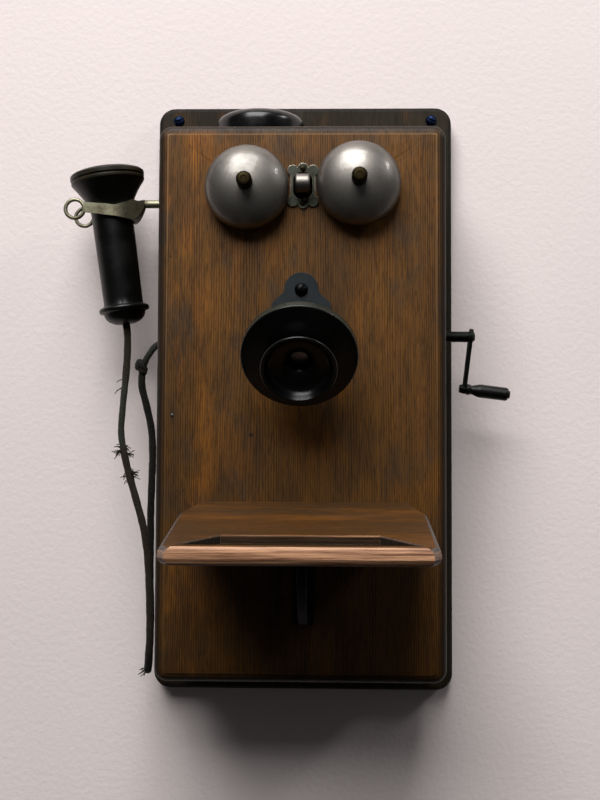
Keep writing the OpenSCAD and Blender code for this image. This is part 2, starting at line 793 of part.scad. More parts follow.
module transmitter_case() {
    r = tx_case_d / 2;
    back = -face_rim_t - case_back;
    corner = 8;
    outer = [for (a = [0 : 15 : 90]) [r - corner + corner * cos(a), back + corner - corner * sin(a)]];
    inner = [for (a = [90 : -15 : 0])
        [r - corner + (corner - tx_wall) * cos(a), back + corner - (corner - tx_wall) * sin(a)]];
    flange_r = face_d / 2 - tx_wall - FIT;
    color(BLACK) in_transmitter() difference() {
        union() {
            rotate_extrude() polygon(concat([[flange_r, flange_z], [flange_r, -face_rim_t], [r, -face_rim_t]],
                outer, [[0, back], [0, back + tx_wall]], inner, [[r - tx_wall, flange_z]]));
            translate([-lug_w / 2, -8, -tx_reach]) cube([lug_w, 16, tx_reach + back + 1]);
            translate([-lug_w / 2, 0, -tx_reach]) rotate([0, 90, 0]) cylinder(r = 8, h = lug_w);
        }
        translate([-lug_w, 0, -tx_reach]) rotate([0, 90, 0])
            cylinder(d = tilt_bolt_d + 2 * FIT, h = 2 * lug_w);
    }
}

module transmitter_face() {
    r = face_d / 2;
    hole = face_hole_d / 2;
    edge = 1.5;
    // The face swells from its rim to the mouthpiece's hole along a flat arc.
    outer = [for (i = [0 : 8]) let (x = r - edge - i * (r - edge - hole) / 8)
        [x, face_swell * (1 - pow(x / r, 2))]];
    inner = [for (i = [8 : -1 : 0]) let (x = r - tx_wall - i * (r - tx_wall - hole) / 8)
        [x, face_swell * (1 - pow(x / r, 2)) - tx_wall]];
    rim = [[r - tx_wall, -face_rim_t], [r, -face_rim_t], [r, -edge]];
    color(BLACK) in_transmitter() rotate_extrude() polygon(concat(rim, outer, inner));
}

// Outer radius of the mouthpiece's horn at a share of its height.
function horn(t, throat) = throat + (mouth_d / 2 - throat) * pow(t, 2.2);

module mouthpiece() {
    seat = face_swell * (1 - pow(face_hole_d / face_d, 2));
    wall = 2.6;
    lip = 2.4;
    steps = 10;
    top = mouth_h;
    outer = [for (i = [0 : steps])
        [horn(i / steps, face_hole_d / 2 + 2), seat + (top - lip - seat) * i / steps]];
    inner = [for (i = [steps : -1 : 0])
        [horn(i / steps, throat_d / 2 + wall) - wall, seat + 1 + (top - seat - 1) * i / steps]];
    rim = [[mouth_d / 2 + 0.4, top - lip * 0.6], [mouth_d / 2, top - 0.4], [mouth_d / 2 - 1, top]];
    color(BLACK) in_transmitter() rotate_extrude() polygon(concat([[face_hole_d / 2 - FIT, seat - 6],
        [face_hole_d / 2 - FIT, seat]], outer, rim, inner, [[throat_d / 2, seat - 6]]));
}

diaphragm_t = 0.8;

module transmitter_diaphragm() {
    color(NICKEL) in_transmitter() translate([0, 0, flange_z]) cylinder(d = tx_case_d + 4, h = diaphragm_t);
}

button_d = 26;
button_neck_d = 12;
button_neck_h = 6;

module carbon_button() {
    floor = tx_wall - face_rim_t - case_back;
    color(BRASS) in_transmitter() {
        translate([0, 0, floor]) cylinder(d = button_d, h = flange_z - floor - button_neck_h);
        translate([0, 0, flange_z - button_neck_h]) cylinder(d = button_neck_d, h = button_neck_h);
    }
}

// The writing shelf and its iron bracket

desk_corner = 6;

// The shelf's outline, drawn in by one margin at its sides and by another at its front.
module desk_outline(side, front) {
    x = desk_w / 2 - side;
    y = -desk_l + front;
    back_x = x - desk_clip_w;
    polygon([[-back_x, 0], [-x, -desk_clip_l], [-x, y + desk_corner], [desk_corner - x, y],
        [x - desk_corner, y], [x, y + desk_corner], [x, -desk_clip_l], [back_x, 0]]);
}

// Puts something on the shelf's own slope: z is up from its underside, and the door is at y = 0.
module on_desk() {
    at(desk_x, door_front, -desk_drop) rotate([desk_slope, 0, 0]) translate([0, 0, -desk_t]) children();
}

// The shelf's edge from its underside to its top: share of the thickness, margin at the sides
// and margin at the front.
desk_layers = [[0, 3.5, 2.5], [0.15, 1.2, 0.8], [0.38, 0, 0], [0.72, 0.8, 0.3],
    [0.9, desk_bevel * 0.55, desk_nose * 0.5], [1, desk_bevel, desk_nose]];

module writing_shelf() {
    front = -desk_l + desk_nose + trough_lip;
    back = front + trough_w;
    half = trough_l / 2;
    color(OAK) difference() {
        intersection() {
            on_desk() hull() for (layer = desk_layers)
                translate([0, 0, layer[0] * (desk_t - 0.1)]) linear_extrude(0.1)
                    desk_outline(layer[1], layer[2]);
            bar(-desk_w, desk_w, door_front, door_front + 2 * desk_l,
                -desk_drop - desk_l, -desk_drop + desk_t);
        }
        on_desk() translate([0, 0, desk_t - trough_depth]) linear_extrude(trough_depth + 1)
            polygon([[-half, front], [half, front], [half - trough_w, back], [-half + trough_w, back]]);
    }
}

brace_w = 8;
brace_t = 5;

// Height of the shelf's underside at a distance forward of the door.
function desk_under(d) = -desk_drop - desk_t / cos(desk_slope) - d * tan(desk_slope);

// A point of the bracket's side view, given by its distance forward of the door and its height.
function stay_point(d, z) = [-door_front - d, z];

// The curved brace between the bracket's two legs: a quarter of an ellipse with a constant width.
module stay_brace() {
    reach = stay_l * 0.85;
    rise = stay_h * 0.83;
    start = stay_t / 2;
    mid_z = desk_under(reach) - stay_t / 2;
    outer = [for (a = [0 : 5 : 90])
        stay_point(start + (reach - start + brace_t / 2) * sin(a), mid_z - (rise + brace_t / 2) * cos(a))];
    inner = [for (a = [90 : -5 : 0])
        stay_point(start + (reach - start - brace_t / 2) * sin(a), mid_z - (rise - brace_t / 2) * cos(a))];
    polygon(concat(outer, inner));
}

module shelf_stay() {
    bottom = desk_under(0) - stay_h;
    color(IRON) {
        rightward(desk_x - stay_w / 2, stay_w) polygon([stay_point(0, desk_under(0)),
            stay_point(stay_l, desk_under(stay_l)), stay_point(stay_l, desk_under(stay_l) - stay_t + 1),
            stay_point(stay_l - 2, desk_under(stay_l) - stay_t),
            stay_point(stay_t, desk_under(stay_t) - stay_t),
            stay_point(stay_t, bottom + 2), stay_point(stay_t - 2, bottom), stay_point(0, bottom)]);
        rightward(desk_x - brace_w / 2, brace_w) stay_brace();
    }
}

// The magneto generator

gear_pitch_d = gear_module * gear_teeth;
pinion_pitch_d = gear_module * pinion_teeth;
rotor_z = crank_z - (gear_pitch_d + pinion_pitch_d) / 2;
stack_w = magnet_count * magnet_w + (magnet_count - 1) * magnet_gap;
gear_x = inner_x - 3 - gear_t;
plate_right_x = gear_x - 2.5 - end_plate_t;
stack_x = plate_right_x - stack_w - 1;
plate_left_x = stack_x - 1 - end_plate_t;
magnet_outer_r = magnet_inner_w / 2 + magnet_t;
base_t = 4;
base_z = -ledge_drop;
arch_z = crank_z - 2;

module generator_base() {
    color(IRON) bar(plate_left_x - 3, plate_right_x + end_plate_t,
        crank_depth - magnet_outer_r, crank_depth + magnet_outer_r - 4, base_z, base_z + base_t);
}

plate_half = 24;
boss_r = 11;
web_z = rotor_z + boss_r - 1;

// One end plate of the generator: a foot, a round boss and the web between them.
module end_plate(x) {
    rightward(x, end_plate_t) difference() {
        union() {
            translate([-crank_depth, crank_z]) circle(boss_r);
            translate([-crank_depth - plate_half, base_z + base_t])
                square([2 * plate_half, rotor_z - base_z - base_t + boss_r]);
            polygon([[-crank_depth - plate_half, web_z], [-crank_depth + plate_half, web_z],
                [-crank_depth + boss_r, crank_z], [-crank_depth - boss_r, crank_z]]);
        }
        translate([-crank_depth, crank_z]) circle(d = crank_shaft_d + 2 * FIT);
        translate([-crank_depth, rotor_z]) circle(d = rotor_shaft_d + 2 * FIT);
    }
}

rotor_shaft_d = 6;

module generator_end_plates() {
    color(BRASS) {
        end_plate(plate_right_x);
        end_plate(plate_left_x);
    }
}

module horseshoe() {
    translate([-crank_depth, arch_z]) difference() {
        circle(magnet_outer_r, $fn = 96);
        circle(magnet_inner_w / 2, $fn = 96);
        translate([-magnet_outer_r, -magnet_outer_r]) square([2 * magnet_outer_r, magnet_outer_r]);
    }
    for (s = [-1, 1])
        translate([-crank_depth + s * (magnet_inner_w / 2 + magnet_t / 2) - magnet_t / 2, base_z + base_t])
            square([magnet_t, arch_z - base_z - base_t]);
}

module generator_magnets() {
    color("#3a3d42") for (i = [0 : magnet_count - 1])
        rightward(stack_x + i * (magnet_w + magnet_gap), magnet_w) horseshoe();
}

module pole_pieces() {
    bore = rotor_d / 2 + rotor_gap;
    color("#4a4d52") rightward(stack_x, stack_w) difference() {
        translate([-crank_depth - magnet_inner_w / 2 + 0.1, base_z + base_t])
            square([magnet_inner_w - 0.2, rotor_z + bore - 4 - base_z - base_t]);
        translate([-crank_depth, rotor_z]) circle(bore);
        translate([-crank_depth - bore / 2, base_z]) square([bore, 2 * rotor_d]);
    }
}

// An involute gear drawn about its own middle, thinned by half the play on each flank.
function involute(rb, r) = let (a = sqrt(max(0, pow(r / rb, 2) - 1))) a * 180 / PI - atan(a);

function tooth(n, i) = let (
    rp = gear_module * n / 2,
    rb = rp * cos(20),
    ro = rp + gear_module * 0.95,
    rr = rp - gear_module * 1.2,
    half = 90 / n - gear_play * 90 / (PI * rp) + involute(rb, rp),
    rs = [max(rr, rb), max(rb, rp - gear_module * 0.5), rp, rp + gear_module * 0.5, ro],
    mid = i * 360 / n,
    low = half - involute(rb, rs[0]))
    concat(
        [[rr * cos(mid - low), rr * sin(mid - low)]],
        [for (r = rs) let (a = mid - half + involute(rb, r)) [r * cos(a), r * sin(a)]],
        [for (k = [4 : -1 : 0]) let (r = rs[k], a = mid + half - involute(rb, r)) [r * cos(a), r * sin(a)]],
        [[rr * cos(mid + low), rr * sin(mid + low)]]);

function gear_outline(n) = [for (i = [0 : n - 1]) each tooth(n, i)];

gear_windows = 5;

module drive_gear() {
    window_r = gear_pitch_d * 0.14;
    color(BRASS) at(gear_x, crank_depth, crank_z) rotate([90, 0, 90]) {
        linear_extrude(gear_t) difference() {
            polygon(gear_outline(gear_teeth));
            circle(d = crank_shaft_d + 2 * FIT);
            for (i = [0 : gear_windows - 1]) rotate(i * 360 / gear_windows)
                translate([gear_pitch_d * 0.28, 0]) circle(window_r / 1.4);
        }
    }
}

module pinion() {
    color(BRASS) at(gear_x, crank_depth, rotor_z) rotate([90, 0, 90]) linear_extrude(gear_t) difference() {
        rotate(180 / pinion_teeth * (pinion_teeth % 2 == 0 ? 1 : 0) + 90)
            rotate(mesh_turn) polygon(gear_outline(pinion_teeth));
        circle(d = rotor_shaft_d + 2 * FIT);
    }
}

// The gear's tooth nearest the pinion and the turn that puts a pinion gap there.
gear_phase = (270 * gear_teeth / 360) % 1;
mesh_turn = gear_phase * 360 / pinion_teeth;

rotor_l = stack_w - 4;

module generator_armature() {
    r = rotor_d / 2;
    color("#5a5550") {
        rod_right(shaft_start_x, crank_depth, rotor_z, rotor_shaft_d, gear_x + gear_t + 1.5 - shaft_start_x);
        rightward(stack_x + 2, rotor_l) translate([-crank_depth, rotor_z]) intersection() {
            circle(r);
            union() {
                translate([-r, r * 0.45]) square([2 * r, r]);
                translate([-r, -r * 1.45]) square([2 * r, r]);
                square([r * 0.7, 2 * r], center = true);
            }
        }
    }
    color(COPPER) rightward(stack_x + 5, rotor_l - 6) translate([-crank_depth, rotor_z]) intersection() {
        circle(r - 1.5);
        square([2 * r, r * 0.9 - 0.02], center = true);
    }
}

// The crank

shaft_end_x = box_w / 2 + crank_out + arm_t / 2;
shaft_start_x = plate_left_x - 4;

module crank_bushing() {
    color(BRASS) difference() {
        union() {
            rod_right(inner_x, crank_depth, crank_z, crank_bush_d - 0.1, box_wall + 3);
            rod_right(box_w / 2, crank_depth, crank_z, crank_bush_d + 10, 3);
        }
        rod_right(inner_x - 1, crank_depth, crank_z, crank_shaft_d + 2 * FIT, box_wall + 6);
    }
}

module crank_shaft() {
    color(IRON) {
        rod_right(shaft_start_x, crank_depth, crank_z, crank_shaft_d, shaft_end_x + SEAT - shaft_start_x);
        at(shaft_end_x + SEAT, crank_depth, crank_z) rotate([0, 90, 0])
            cylinder(d1 = crank_shaft_d, d2 = crank_shaft_d * 0.7, h = rivet_h);
    }
}

rivet_h = 1.6;
arm_hub_d = 15;
arm_tip_d = 9;
pin_head_t = 3;
pin_head_d = grip_pin_d + 4.5;

// Puts something in the crank arm's frame: x out of the box, z up along the arm,
// with the origin on the shaft's axis. The arm leans towards the box.
module in_arm() {
    at(box_w / 2 + crank_out, crank_depth, crank_z) rotate([0, crank_lean, 0]) children();
}

module crank_arm() {
    r = arm_hub_d / 2;
    hub_x = r * 0.75;
    tip_x = arm_tip_d * 0.48;
    color(IRON) difference() {
        in_arm() translate([-arm_t / 2, 0, 0]) {
            rotate([0, 90, 0]) cylinder(r = r, h = arm_t);
            translate([0, 0, -crank_r]) rotate([0, 90, 0]) cylinder(d = arm_tip_d, h = arm_t);
            rotate([90, 0, 90]) linear_extrude(arm_t)
                polygon([[-hub_x, -r / 2], [hub_x, -r / 2], [tip_x, 1 - crank_r], [-tip_x, 1 - crank_r]]);
        }
        rod_right(box_w / 2, crank_depth, crank_z, crank_shaft_d + 2 * FIT, 2 * crank_out);
        in_arm() translate([-arm_t, 0, -crank_r]) rotate([0, 90, 0])
            cylinder(d = grip_pin_d + 2 * FIT, h = 2 * arm_t);
    }
}

module grip_pin() {
    color(IRON) in_arm() translate([0, 0, -crank_r]) rotate([0, 90, 0]) {
        translate([0, 0, -arm_t / 2 - pin_head_t]) {
            cylinder(d1 = pin_head_d - 1, d2 = pin_head_d, h = pin_head_t);
            cylinder(d = grip_pin_d, h = arm_t + pin_head_t + grip_l + 3 * SEAT);
        }
        translate([0, 0, arm_t / 2 + 2 * SEAT + grip_l]) cylinder(d = grip_pin_d + 3, h = rivet_h);
    }
}

// The grip's outline, each as a share of its radius and a share of its length:
// a collar, a neck, a short taper and a long straight part.
grip_profile = [[0.8, 0], [0.8, 0.07], [0.67, 0.1], [0.69, 0.15], [0.97, 0.29], [1, 0.34], [1, 0.95],
    [0.88, 1]];

module crank_grip() {
    r = grip_d / 2;
    profile = [for (p = grip_profile) [p[0] * r, p[1] * grip_l]];
    color(BLACK) in_arm() translate([arm_t / 2 + SEAT, 0, -crank_r]) rotate([0, 90, 0]) rotate_extrude()
        polygon(concat([[grip_pin_d / 2 + FIT, 0]], profile, [[grip_pin_d / 2 + FIT, grip_l]]));
}

// The hook switch

pivot_x = -inner_x + hook_pivot_in;
fork_x = -box_w / 2 - fork_out;
rx_x = -box_w / 2 - rx_out;
fork_seat_z = 2.4;
neck_z = -2;
tail_h = 14;
cap_z = rx_above - ear_cap_h - 1;
fork_inner_r = rx_radius(fork_seat_z) + SEAT;
fork_mid_z = hook_z - 8;
fork_round_x = rx_x + 1.6;
curl_x = rx_x - fork_reach + 3.5;
curl_z = fork_mid_z - 0.5;
fork_tail = 2 * fork_reach;

// The fork's outline from the side: a deep neck at the stem that tapers to the curls.
module fork_side_outline() {
    top = fork_mid_z + fork_h / 2;
    low = fork_mid_z - fork_h / 2;
    stem_low = hook_z - stem_d / 2;
    polygon([[fork_x + 1, hook_z + stem_d / 2 - 0.4], [fork_x + 1, stem_low], [fork_x - 2, fork_mid_z - 2],
        [fork_x - 5, low + 2.5], [fork_x - 9, low], [fork_x - 13, low + 0.6],
        [fork_x - 23, fork_mid_z - fork_side_h / 2 - 1.5],
        [curl_x + curl_d / 2 - 1, curl_z - 3], [curl_x + curl_d / 2 - 3, curl_z + 6.5],
        [fork_x - 23, fork_mid_z + fork_side_h / 2 - 2], [fork_x - 13, top - 1],
        [fork_x - 9, top + 1.4], [fork_x - 4, top + 0.6]]);
}

// The fork's outline from above: a U that opens to the left, with a neck that narrows to the stem.
module fork_plan() {
    r = fork_inner_r;
    outer = r + fork_t;
    neck_x = fork_x + 1 - fork_round_x;
    neck_y = stem_d / 2 + 1.2;
    translate([fork_round_x, -crank_depth]) difference() {
        union() {
            circle(outer, $fn = 96);
            translate([-fork_tail, -outer]) square([fork_tail, 2 * outer]);
            polygon([[outer * cos(50), -outer * sin(50)], [neck_x, -neck_y], [neck_x, neck_y],
                [outer * cos(50), outer * sin(50)]]);
        }
        circle(r, $fn = 96);
        translate([-fork_tail - 1, -r]) square([fork_tail + 1, 2 * r]);
    }
}

module hook_lever() {
    hub_w = lever_hub_w;
    color(NICKEL) difference() {
        union() {
            intersection() {
                translate([0, 0, fork_mid_z - fork_h]) linear_extrude(2 * fork_h) fork_plan();
                forward(0, 2 * crank_depth) fork_side_outline();
            }
            for (s = [-1, 1])
                at(curl_x, crank_depth + s * (fork_inner_r + fork_t / 2), curl_z) rotate([90, 0, 0])
                    rotate_extrude() translate([curl_d / 2 - curl_t / 2, 0]) circle(d = curl_t, $fn = 24);
            rod_right(fork_x - 1, crank_depth, hook_z, stem_d, pivot_x - fork_x + 1);
            rod_forward(pivot_x, crank_depth - hub_w / 2, hook_z, lever_hub_d, hub_w);
            bar(pivot_x, pivot_x + lever_tail, crank_depth - lever_t / 2, crank_depth + lever_t / 2,
                hook_z - lever_t / 2, hook_z + lever_t / 2);
            rod_forward(pivot_x + lever_tail, crank_depth - roller_w / 2, hook_z, roller_d, roller_w);
        }
        rod_forward(pivot_x, crank_depth - hub_w, hook_z, hook_pin_d + 2 * FIT, 2 * hub_w);
    }
}

lever_hub_d = hook_pin_d + 11;
lever_hub_w = 9;
lever_tail = 22;
lever_t = 6;
roller_w = 8;
frame_play = 0.5;
frame_ear_t = 3;
frame_foot_z = hook_z - 34;
frame_foot_w = 28;
frame_ear_r = 9;
rail_z = hook_z - 14;
rail_h = 10;
block_x0 = pivot_x + 34;
block_w = 10;

// The hook's frame: a foot on the box's side, two ears for the pin and a rail for the springs.
module hook_frame() {
    ear = frame_ear_t;
    play = lever_hub_w / 2 + frame_play;
    rail_end = block_x0 + block_w;
    ear_top = hook_z + frame_ear_r * 0.67;
    color(IRON) difference() {
        union() {
            bar(-inner_x, -inner_x + ear, crank_depth - frame_foot_w / 2, crank_depth + frame_foot_w / 2,
                frame_foot_z, hook_z - 8);
            for (s = [-1, 1])
                forward(crank_depth + s * (play + ear / 2) - ear / 2, ear)
                    polygon([[-inner_x, frame_foot_z], [-inner_x, hook_z - 10],
                        [pivot_x - frame_ear_r, ear_top], [pivot_x + frame_ear_r, ear_top],
                        [pivot_x + frame_ear_r, rail_z], [rail_end, rail_z], [rail_end, rail_z - rail_h],
                        [-inner_x + 12, frame_foot_z]]);
        }
        rod_forward(pivot_x, crank_depth - frame_foot_w, hook_z, hook_pin_d + 2 * FIT, 2 * frame_foot_w);
    }
}

module hook_pin() {
    l = lever_hub_w + 2 * (frame_play + frame_ear_t);
    head_t = 2;
    color(BRASS) {
        rod_forward(pivot_x, crank_depth - l / 2, hook_z, hook_pin_d, l);
        for (depth = [crank_depth + l / 2, crank_depth - l / 2 - head_t])
            rod_forward(pivot_x, depth, hook_z, hook_pin_d + 2 * head_t, head_t);
    }
}

leaf_count = 3;
leaf_pitch = 6;
roller_d = 7;
leaf_z = hook_z + roller_d / 2 + SEAT;

// The lowest spring is the thick one that lifts the hook, and the others are the contacts.
function spring_t(i) = i == 0 ? 1.6 : 0.8;

block_l = 16;
leaf_w = 8;
leaf_x = pivot_x + 14;
contact_d = 3;
contact_h = 1.2;

module spring_block() {
    top = leaf_z + (leaf_count - 1) * leaf_pitch + 5;
    color("#3a1d12")
        bar(block_x0, block_x0 + block_w, crank_depth - block_l / 2, crank_depth + block_l / 2, rail_z, top);
}

module switch_springs() {
    color("#b09a5a") for (i = [0 : leaf_count - 1])
        let (z = leaf_z + i * leaf_pitch, x = leaf_x + 2 * i) {
            bar(x, block_x0, crank_depth - leaf_w / 2, crank_depth + leaf_w / 2, z, z + spring_t(i));
            if (i > 0) at(x + contact_d, crank_depth, z - contact_h) cylinder(d = contact_d, h = contact_h);
        }
}

// The receiver

// Radius of the receiver's body at a height above the fork, from its lower end to its cap.
function rx_radius(z) = rx_neck_d / 2 + (z < neck_z
    ? (rx_neck_d - rx_low_d) / 2 * (z - neck_z) / (rx_below - tail_h)
    : (ear_cap_d / 2 - 1 - rx_neck_d / 2) * pow((z - neck_z) / (cap_z - neck_z), 1.6));

// Puts something in the receiver's frame: z up along it, with the origin at the fork.
module in_receiver() {
    at(rx_x, crank_depth, fork_mid_z + 1) rotate([0, -rx_lean, 0]) children();
}

tail_r = 5.5;
bead_z = -rx_below + tail_h;
bead_r = 2.6;
shell_floor_z = bead_z + 8;
bell_depth = 24;

// The shell from its tail up: a rounded tail, a bead, a slender tapered body and a bell.
module receiver_shell() {
    bead_x = rx_bead_d / 2 - bead_r;
    tail_x = rx_bead_d / 2 - 4 - tail_r;
    tail_z = bead_z - bead_r - 0.2;
    tail = [for (a = [75 : -15 : 0]) [tail_r + tail_x * cos(a), tail_z - (rx_below + tail_z) * sin(a)]];
    bead = [for (a = [-80 : 20 : 80]) [bead_x + bead_r * cos(a), bead_z + bead_r * sin(a)]];
    body = [[rx_radius(bead_z + 5), bead_z + 4], [rx_radius(neck_z - 3), neck_z - 3]];
    bell = [for (z = [neck_z : 3 : cap_z]) [rx_radius(z), z]];
    cap_end = [[ear_cap_d / 2 - 1, cap_z], [0, cap_z]];
    color(BLACK) in_receiver() difference() {
        rotate_extrude()
            polygon(concat([[0, -rx_below], [tail_r, -rx_below]], tail, bead, body, bell, cap_end));
        translate([0, 0, cap_z - bell_depth])
            cylinder(r1 = rx_neck_d / 2 - rx_wall, r2 = ear_cap_d / 2 - 2 * rx_wall, h = bell_depth + EPS);
        translate([0, 0, shell_floor_z])
            cylinder(r = rx_low_d / 2 - rx_wall, h = cap_z - shell_floor_z - 1);
    }
}

rx_diaphragm_d = ear_cap_d - 14.6;
rx_diaphragm_t = 0.6;

module receiver_ear_cap() {
    r = ear_cap_d / 2;
    top = rx_above;
    grip_ring = [[r - 1, cap_z], [r - 0.4, cap_z + 1], [r - 0.4, cap_z + 3]];
    groove = [[r - 1.4, cap_z + 3.8], [r - 1.4, cap_z + 4.4], [r, cap_z + 5]];
    crown = [[r, top - 3.4], [r - 1.6, top - 2], [r - 6, top - 0.4], [r - 12, top], [r - 20, top - 1.2]];
    dish = [[ear_hole_d / 2, top - 4], [0, top - 4]];
    color(BLACK) in_receiver() difference() {
        rotate_extrude() polygon(concat([[0, cap_z]], grip_ring, groove, crown, dish));
        translate([0, 0, cap_z - 1]) cylinder(d = ear_hole_d, h = 2 * ear_cap_h);
        translate([0, 0, cap_z - EPS]) cylinder(d = rx_diaphragm_d + 0.6, h = 5);
    }
}

rx_bar_w = 14;
rx_bar_t = 5;
rx_bar_dx = 7;
rx_pole_d = 11;
rx_pole_h = 7;
rx_pole_gap = 3;
rx_yoke_h = 6;

// Two magnet bars on a yoke, with a round pole piece on each below the diaphragm.
module receiver_magnet() {
    pole_z = cap_z - rx_pole_gap - rx_pole_h;
    bar_z = shell_floor_z + rx_yoke_h;
    yoke_w = 2 * rx_bar_dx + rx_bar_t;
    color(IRON) in_receiver() {
        translate([-yoke_w / 2, -rx_bar_w / 2, shell_floor_z]) cube([yoke_w, rx_bar_w, rx_yoke_h]);
        for (s = [-1, 1]) {
            translate([s * rx_bar_dx - rx_bar_t / 2, -rx_bar_w / 2, bar_z - EPS])
                cube([rx_bar_t, rx_bar_w, pole_z - bar_z + 2 * EPS]);
            translate([s * rx_bar_dx, 0, pole_z]) cylinder(d = rx_pole_d, h = rx_pole_h);
        }
    }
    color(NICKEL) in_receiver() translate([0, 0, cap_z]) cylinder(d = rx_diaphragm_d, h = rx_diaphragm_t);
}

// The battery, the coil and the terminals inside the box

floor_z = box_bottom + box_wall;
cell_xs = [-cell_d / 2 - 4, cell_d / 2 + 4];

cell_rim_h = 4;
cell_rim_t = 1.5;
carbon_d = 26;

module dry_cells() {
    color("#8a8578") for (x = cell_xs) at(x, crank_depth, floor_z) difference() {
        cylinder(d = cell_d, h = cell_h);
        translate([0, 0, cell_h - cell_rim_h]) difference() {
            cylinder(d = cell_d - 2 * cell_rim_t, h = cell_rim_h + 1);
            translate([0, 0, -1]) cylinder(d = carbon_d, h = cell_rim_h + 3);
        }
    }
}

post_h = 13;
post_screw_d = 4;
post_flange_d = 9;
post_nut_d = 8;
post_nut_h = 5;

// A binding post: a screw with a flange below and a round nut above.
module binding_post() {
    cylinder(d = post_screw_d, h = post_h);
    cylinder(d = post_flange_d, h = 2);
    translate([0, 0, post_h - post_nut_h - 1]) cylinder(d = post_nut_d, h = post_nut_h);
}

strip_z = box_top - box_wall - 24;
strip_t = 8;
strip_h = 20;
strip_l = 110;
strip_posts = 4;
strip_x = -10;

module binding_posts() {
    below = dome_base_h + box_wall + 4;
    color(BRASS) {
        for (x = cell_xs) {
            at(x, crank_depth, floor_z + cell_h) binding_post();
            at(x, crank_depth + cell_d / 2 - post_flange_d, floor_z + cell_h - cell_rim_h) binding_post();
        }
        for (i = [0 : strip_posts - 1])
            at(strip_x + (i - (strip_posts - 1) / 2) * strip_l / strip_posts, board_t + strip_t, strip_z)
                rotate([90, 0, 0]) binding_post();
        for (s = [-1, 1])
            at(-dome_left + s * post_pair_dx / 2, crank_depth, box_top + dome_base_h) {
                binding_post();
                translate([0, 0, -below]) cylinder(d = cover_post_d, h = below);
            }
    }
}

module terminal_block() {
    color("#3a1d12") bar(strip_x - strip_l / 2, strip_x + strip_l / 2, board_t, board_t + strip_t,
        strip_z - strip_h / 2, strip_z + strip_h / 2);
}

coil_mid_x = -52;
coil_mid_z = 60;
coil_core_d = 9;
cheek = 34;
cheek_t = 6;
coil_base_t = 6;
coil_base_h = 40;
coil_depth = board_t + coil_base_t + cheek / 2;
coil_left = coil_mid_x - coil_l / 2;
coil_right = coil_mid_x + coil_l / 2;

module induction_coil() {
    core_end = cheek_t * 1.5;
    color("#2f4a2c") rod_right(coil_left, coil_depth, coil_mid_z, coil_d, coil_l);
    color(IRON) rod_right(coil_left - core_end, coil_depth, coil_mid_z, coil_core_d, coil_l + 2 * core_end);
}

module coil_base() {
    color(OAK_DARK) {
        bar(coil_left - 2 * cheek_t, coil_right + 2 * cheek_t, board_t, board_t + coil_base_t,
            coil_mid_z - coil_base_h / 2, coil_mid_z + coil_base_h / 2);
        for (x = [coil_left - cheek_t, coil_right]) difference() {
            bar(x, x + cheek_t, coil_depth - cheek / 2, coil_depth + cheek / 2,
                coil_mid_z - cheek / 2, coil_mid_z + cheek / 2);
            rod_right(x - 1, coil_depth, coil_mid_z, coil_core_d, cheek_t + 2);
        }
    }
}

// The cord and its bushing

bushing_t = 3;

module cord_bushing() {
    color(BLACK) difference() {
        union() {
            rod_right(-box_w / 2, cord_depth, cord_in_z, cord_bush_d - 0.1, box_wall);
            rod_right(-box_w / 2 - bushing_t, cord_depth, cord_in_z, cord_bush_d + 4, bushing_t);
        }
        rod_right(-box_w / 2 - bushing_t - 1, cord_depth, cord_in_z, cord_d - 1.2, box_wall + bushing_t + 2);
    }
}

// The cord runs straight out of the receiver's tail and straight into the bushing.
// Between them its route is a list of points, each as [x, depth, z].
cord_start = [rx_x + sin(rx_lean) * rx_below, crank_depth, fork_mid_z + 1 - cos(rx_lean) * rx_below];
cord_end = [-box_w / 2 - bushing_t, cord_depth, cord_in_z];
cord_out = [sin(rx_lean), 0, -cos(rx_lean)];
cord_in = [1, 0, 0];
cord_lead = 10;
cord_route = [[-166, 66, 38], [-167, 68, 15], [-169, 70, -12], [-170, 72, -36], [-167, 74, -54],
    [-162, 76, -74], [-154, 78, -100], [-147, 80, -124], [-143, 80, -148], [-141, 80, -175], [-140, 80, -202],
    [-140, 79, -228], [-142, 74, -248], [-144, 62, -259], [-145, 49, -252], [-145, 44, -232],
    [-145, 42, -205], [-146, 42, -175], [-146, 42, -145], [-146, 42, -115], [-145, 44, -85],
    [-144, 47, -58], [-145, 50, -34], [-149, 55, -12], [-153, 60, 8], [-151, 63, 26], [-144, 65, 39]];

cord_points = concat([cord_start, cord_start + cord_lead * cord_out], cord_route,
    [cord_end - cord_lead * cord_in, cord_end]);

// A point of the smooth curve through p1 and p2, a share t of the way from p1.
function smooth(p0, p1, p2, p3, t) = 0.5 * (2 * p1 + t * (p2 - p0)
    + t * t * (2 * p0 - 5 * p1 + 4 * p2 - p3) + t * t * t * (3 * p1 - 3 * p2 + p3 - p0));

function in_space(p) = [p[0], -p[1], p[2]];
function unit(v) = v / norm(v);

cord_steps = 2;
cord_last = len(cord_points) - 1;
cord_line = [for (i = [0 : cord_last - 1], k = [0 : cord_steps - 1])
    let (p0 = i == 0 ? 2 * cord_points[0] - cord_points[1] : cord_points[i - 1],
        p3 = i == cord_last - 1 ? 2 * cord_points[cord_last] - cord_points[i] : cord_points[i + 2])
    in_space(smooth(p0, cord_points[i], cord_points[i + 1], p3, k / cord_steps)), in_space(cord_end)];
cord_dirs = [for (i = [0 : len(cord_line) - 1])
    i == 0 ? in_space(cord_out) : i == len(cord_line) - 1 ? in_space(cord_in)
    : unit(cord_line[i + 1] - cord_line[i - 1])];

// One side direction for each ring, carried along the cord so that the tube doesn't twist.
function carried(n, dir) = unit(n - (n * dir) * dir);
cord_sides = [for (i = 0, n = [0, 1, 0]; i < len(cord_line);
    i = i + 1, n = i < len(cord_line) ? carried(n, cord_dirs[i]) : n) n];

cord_facets = 10;

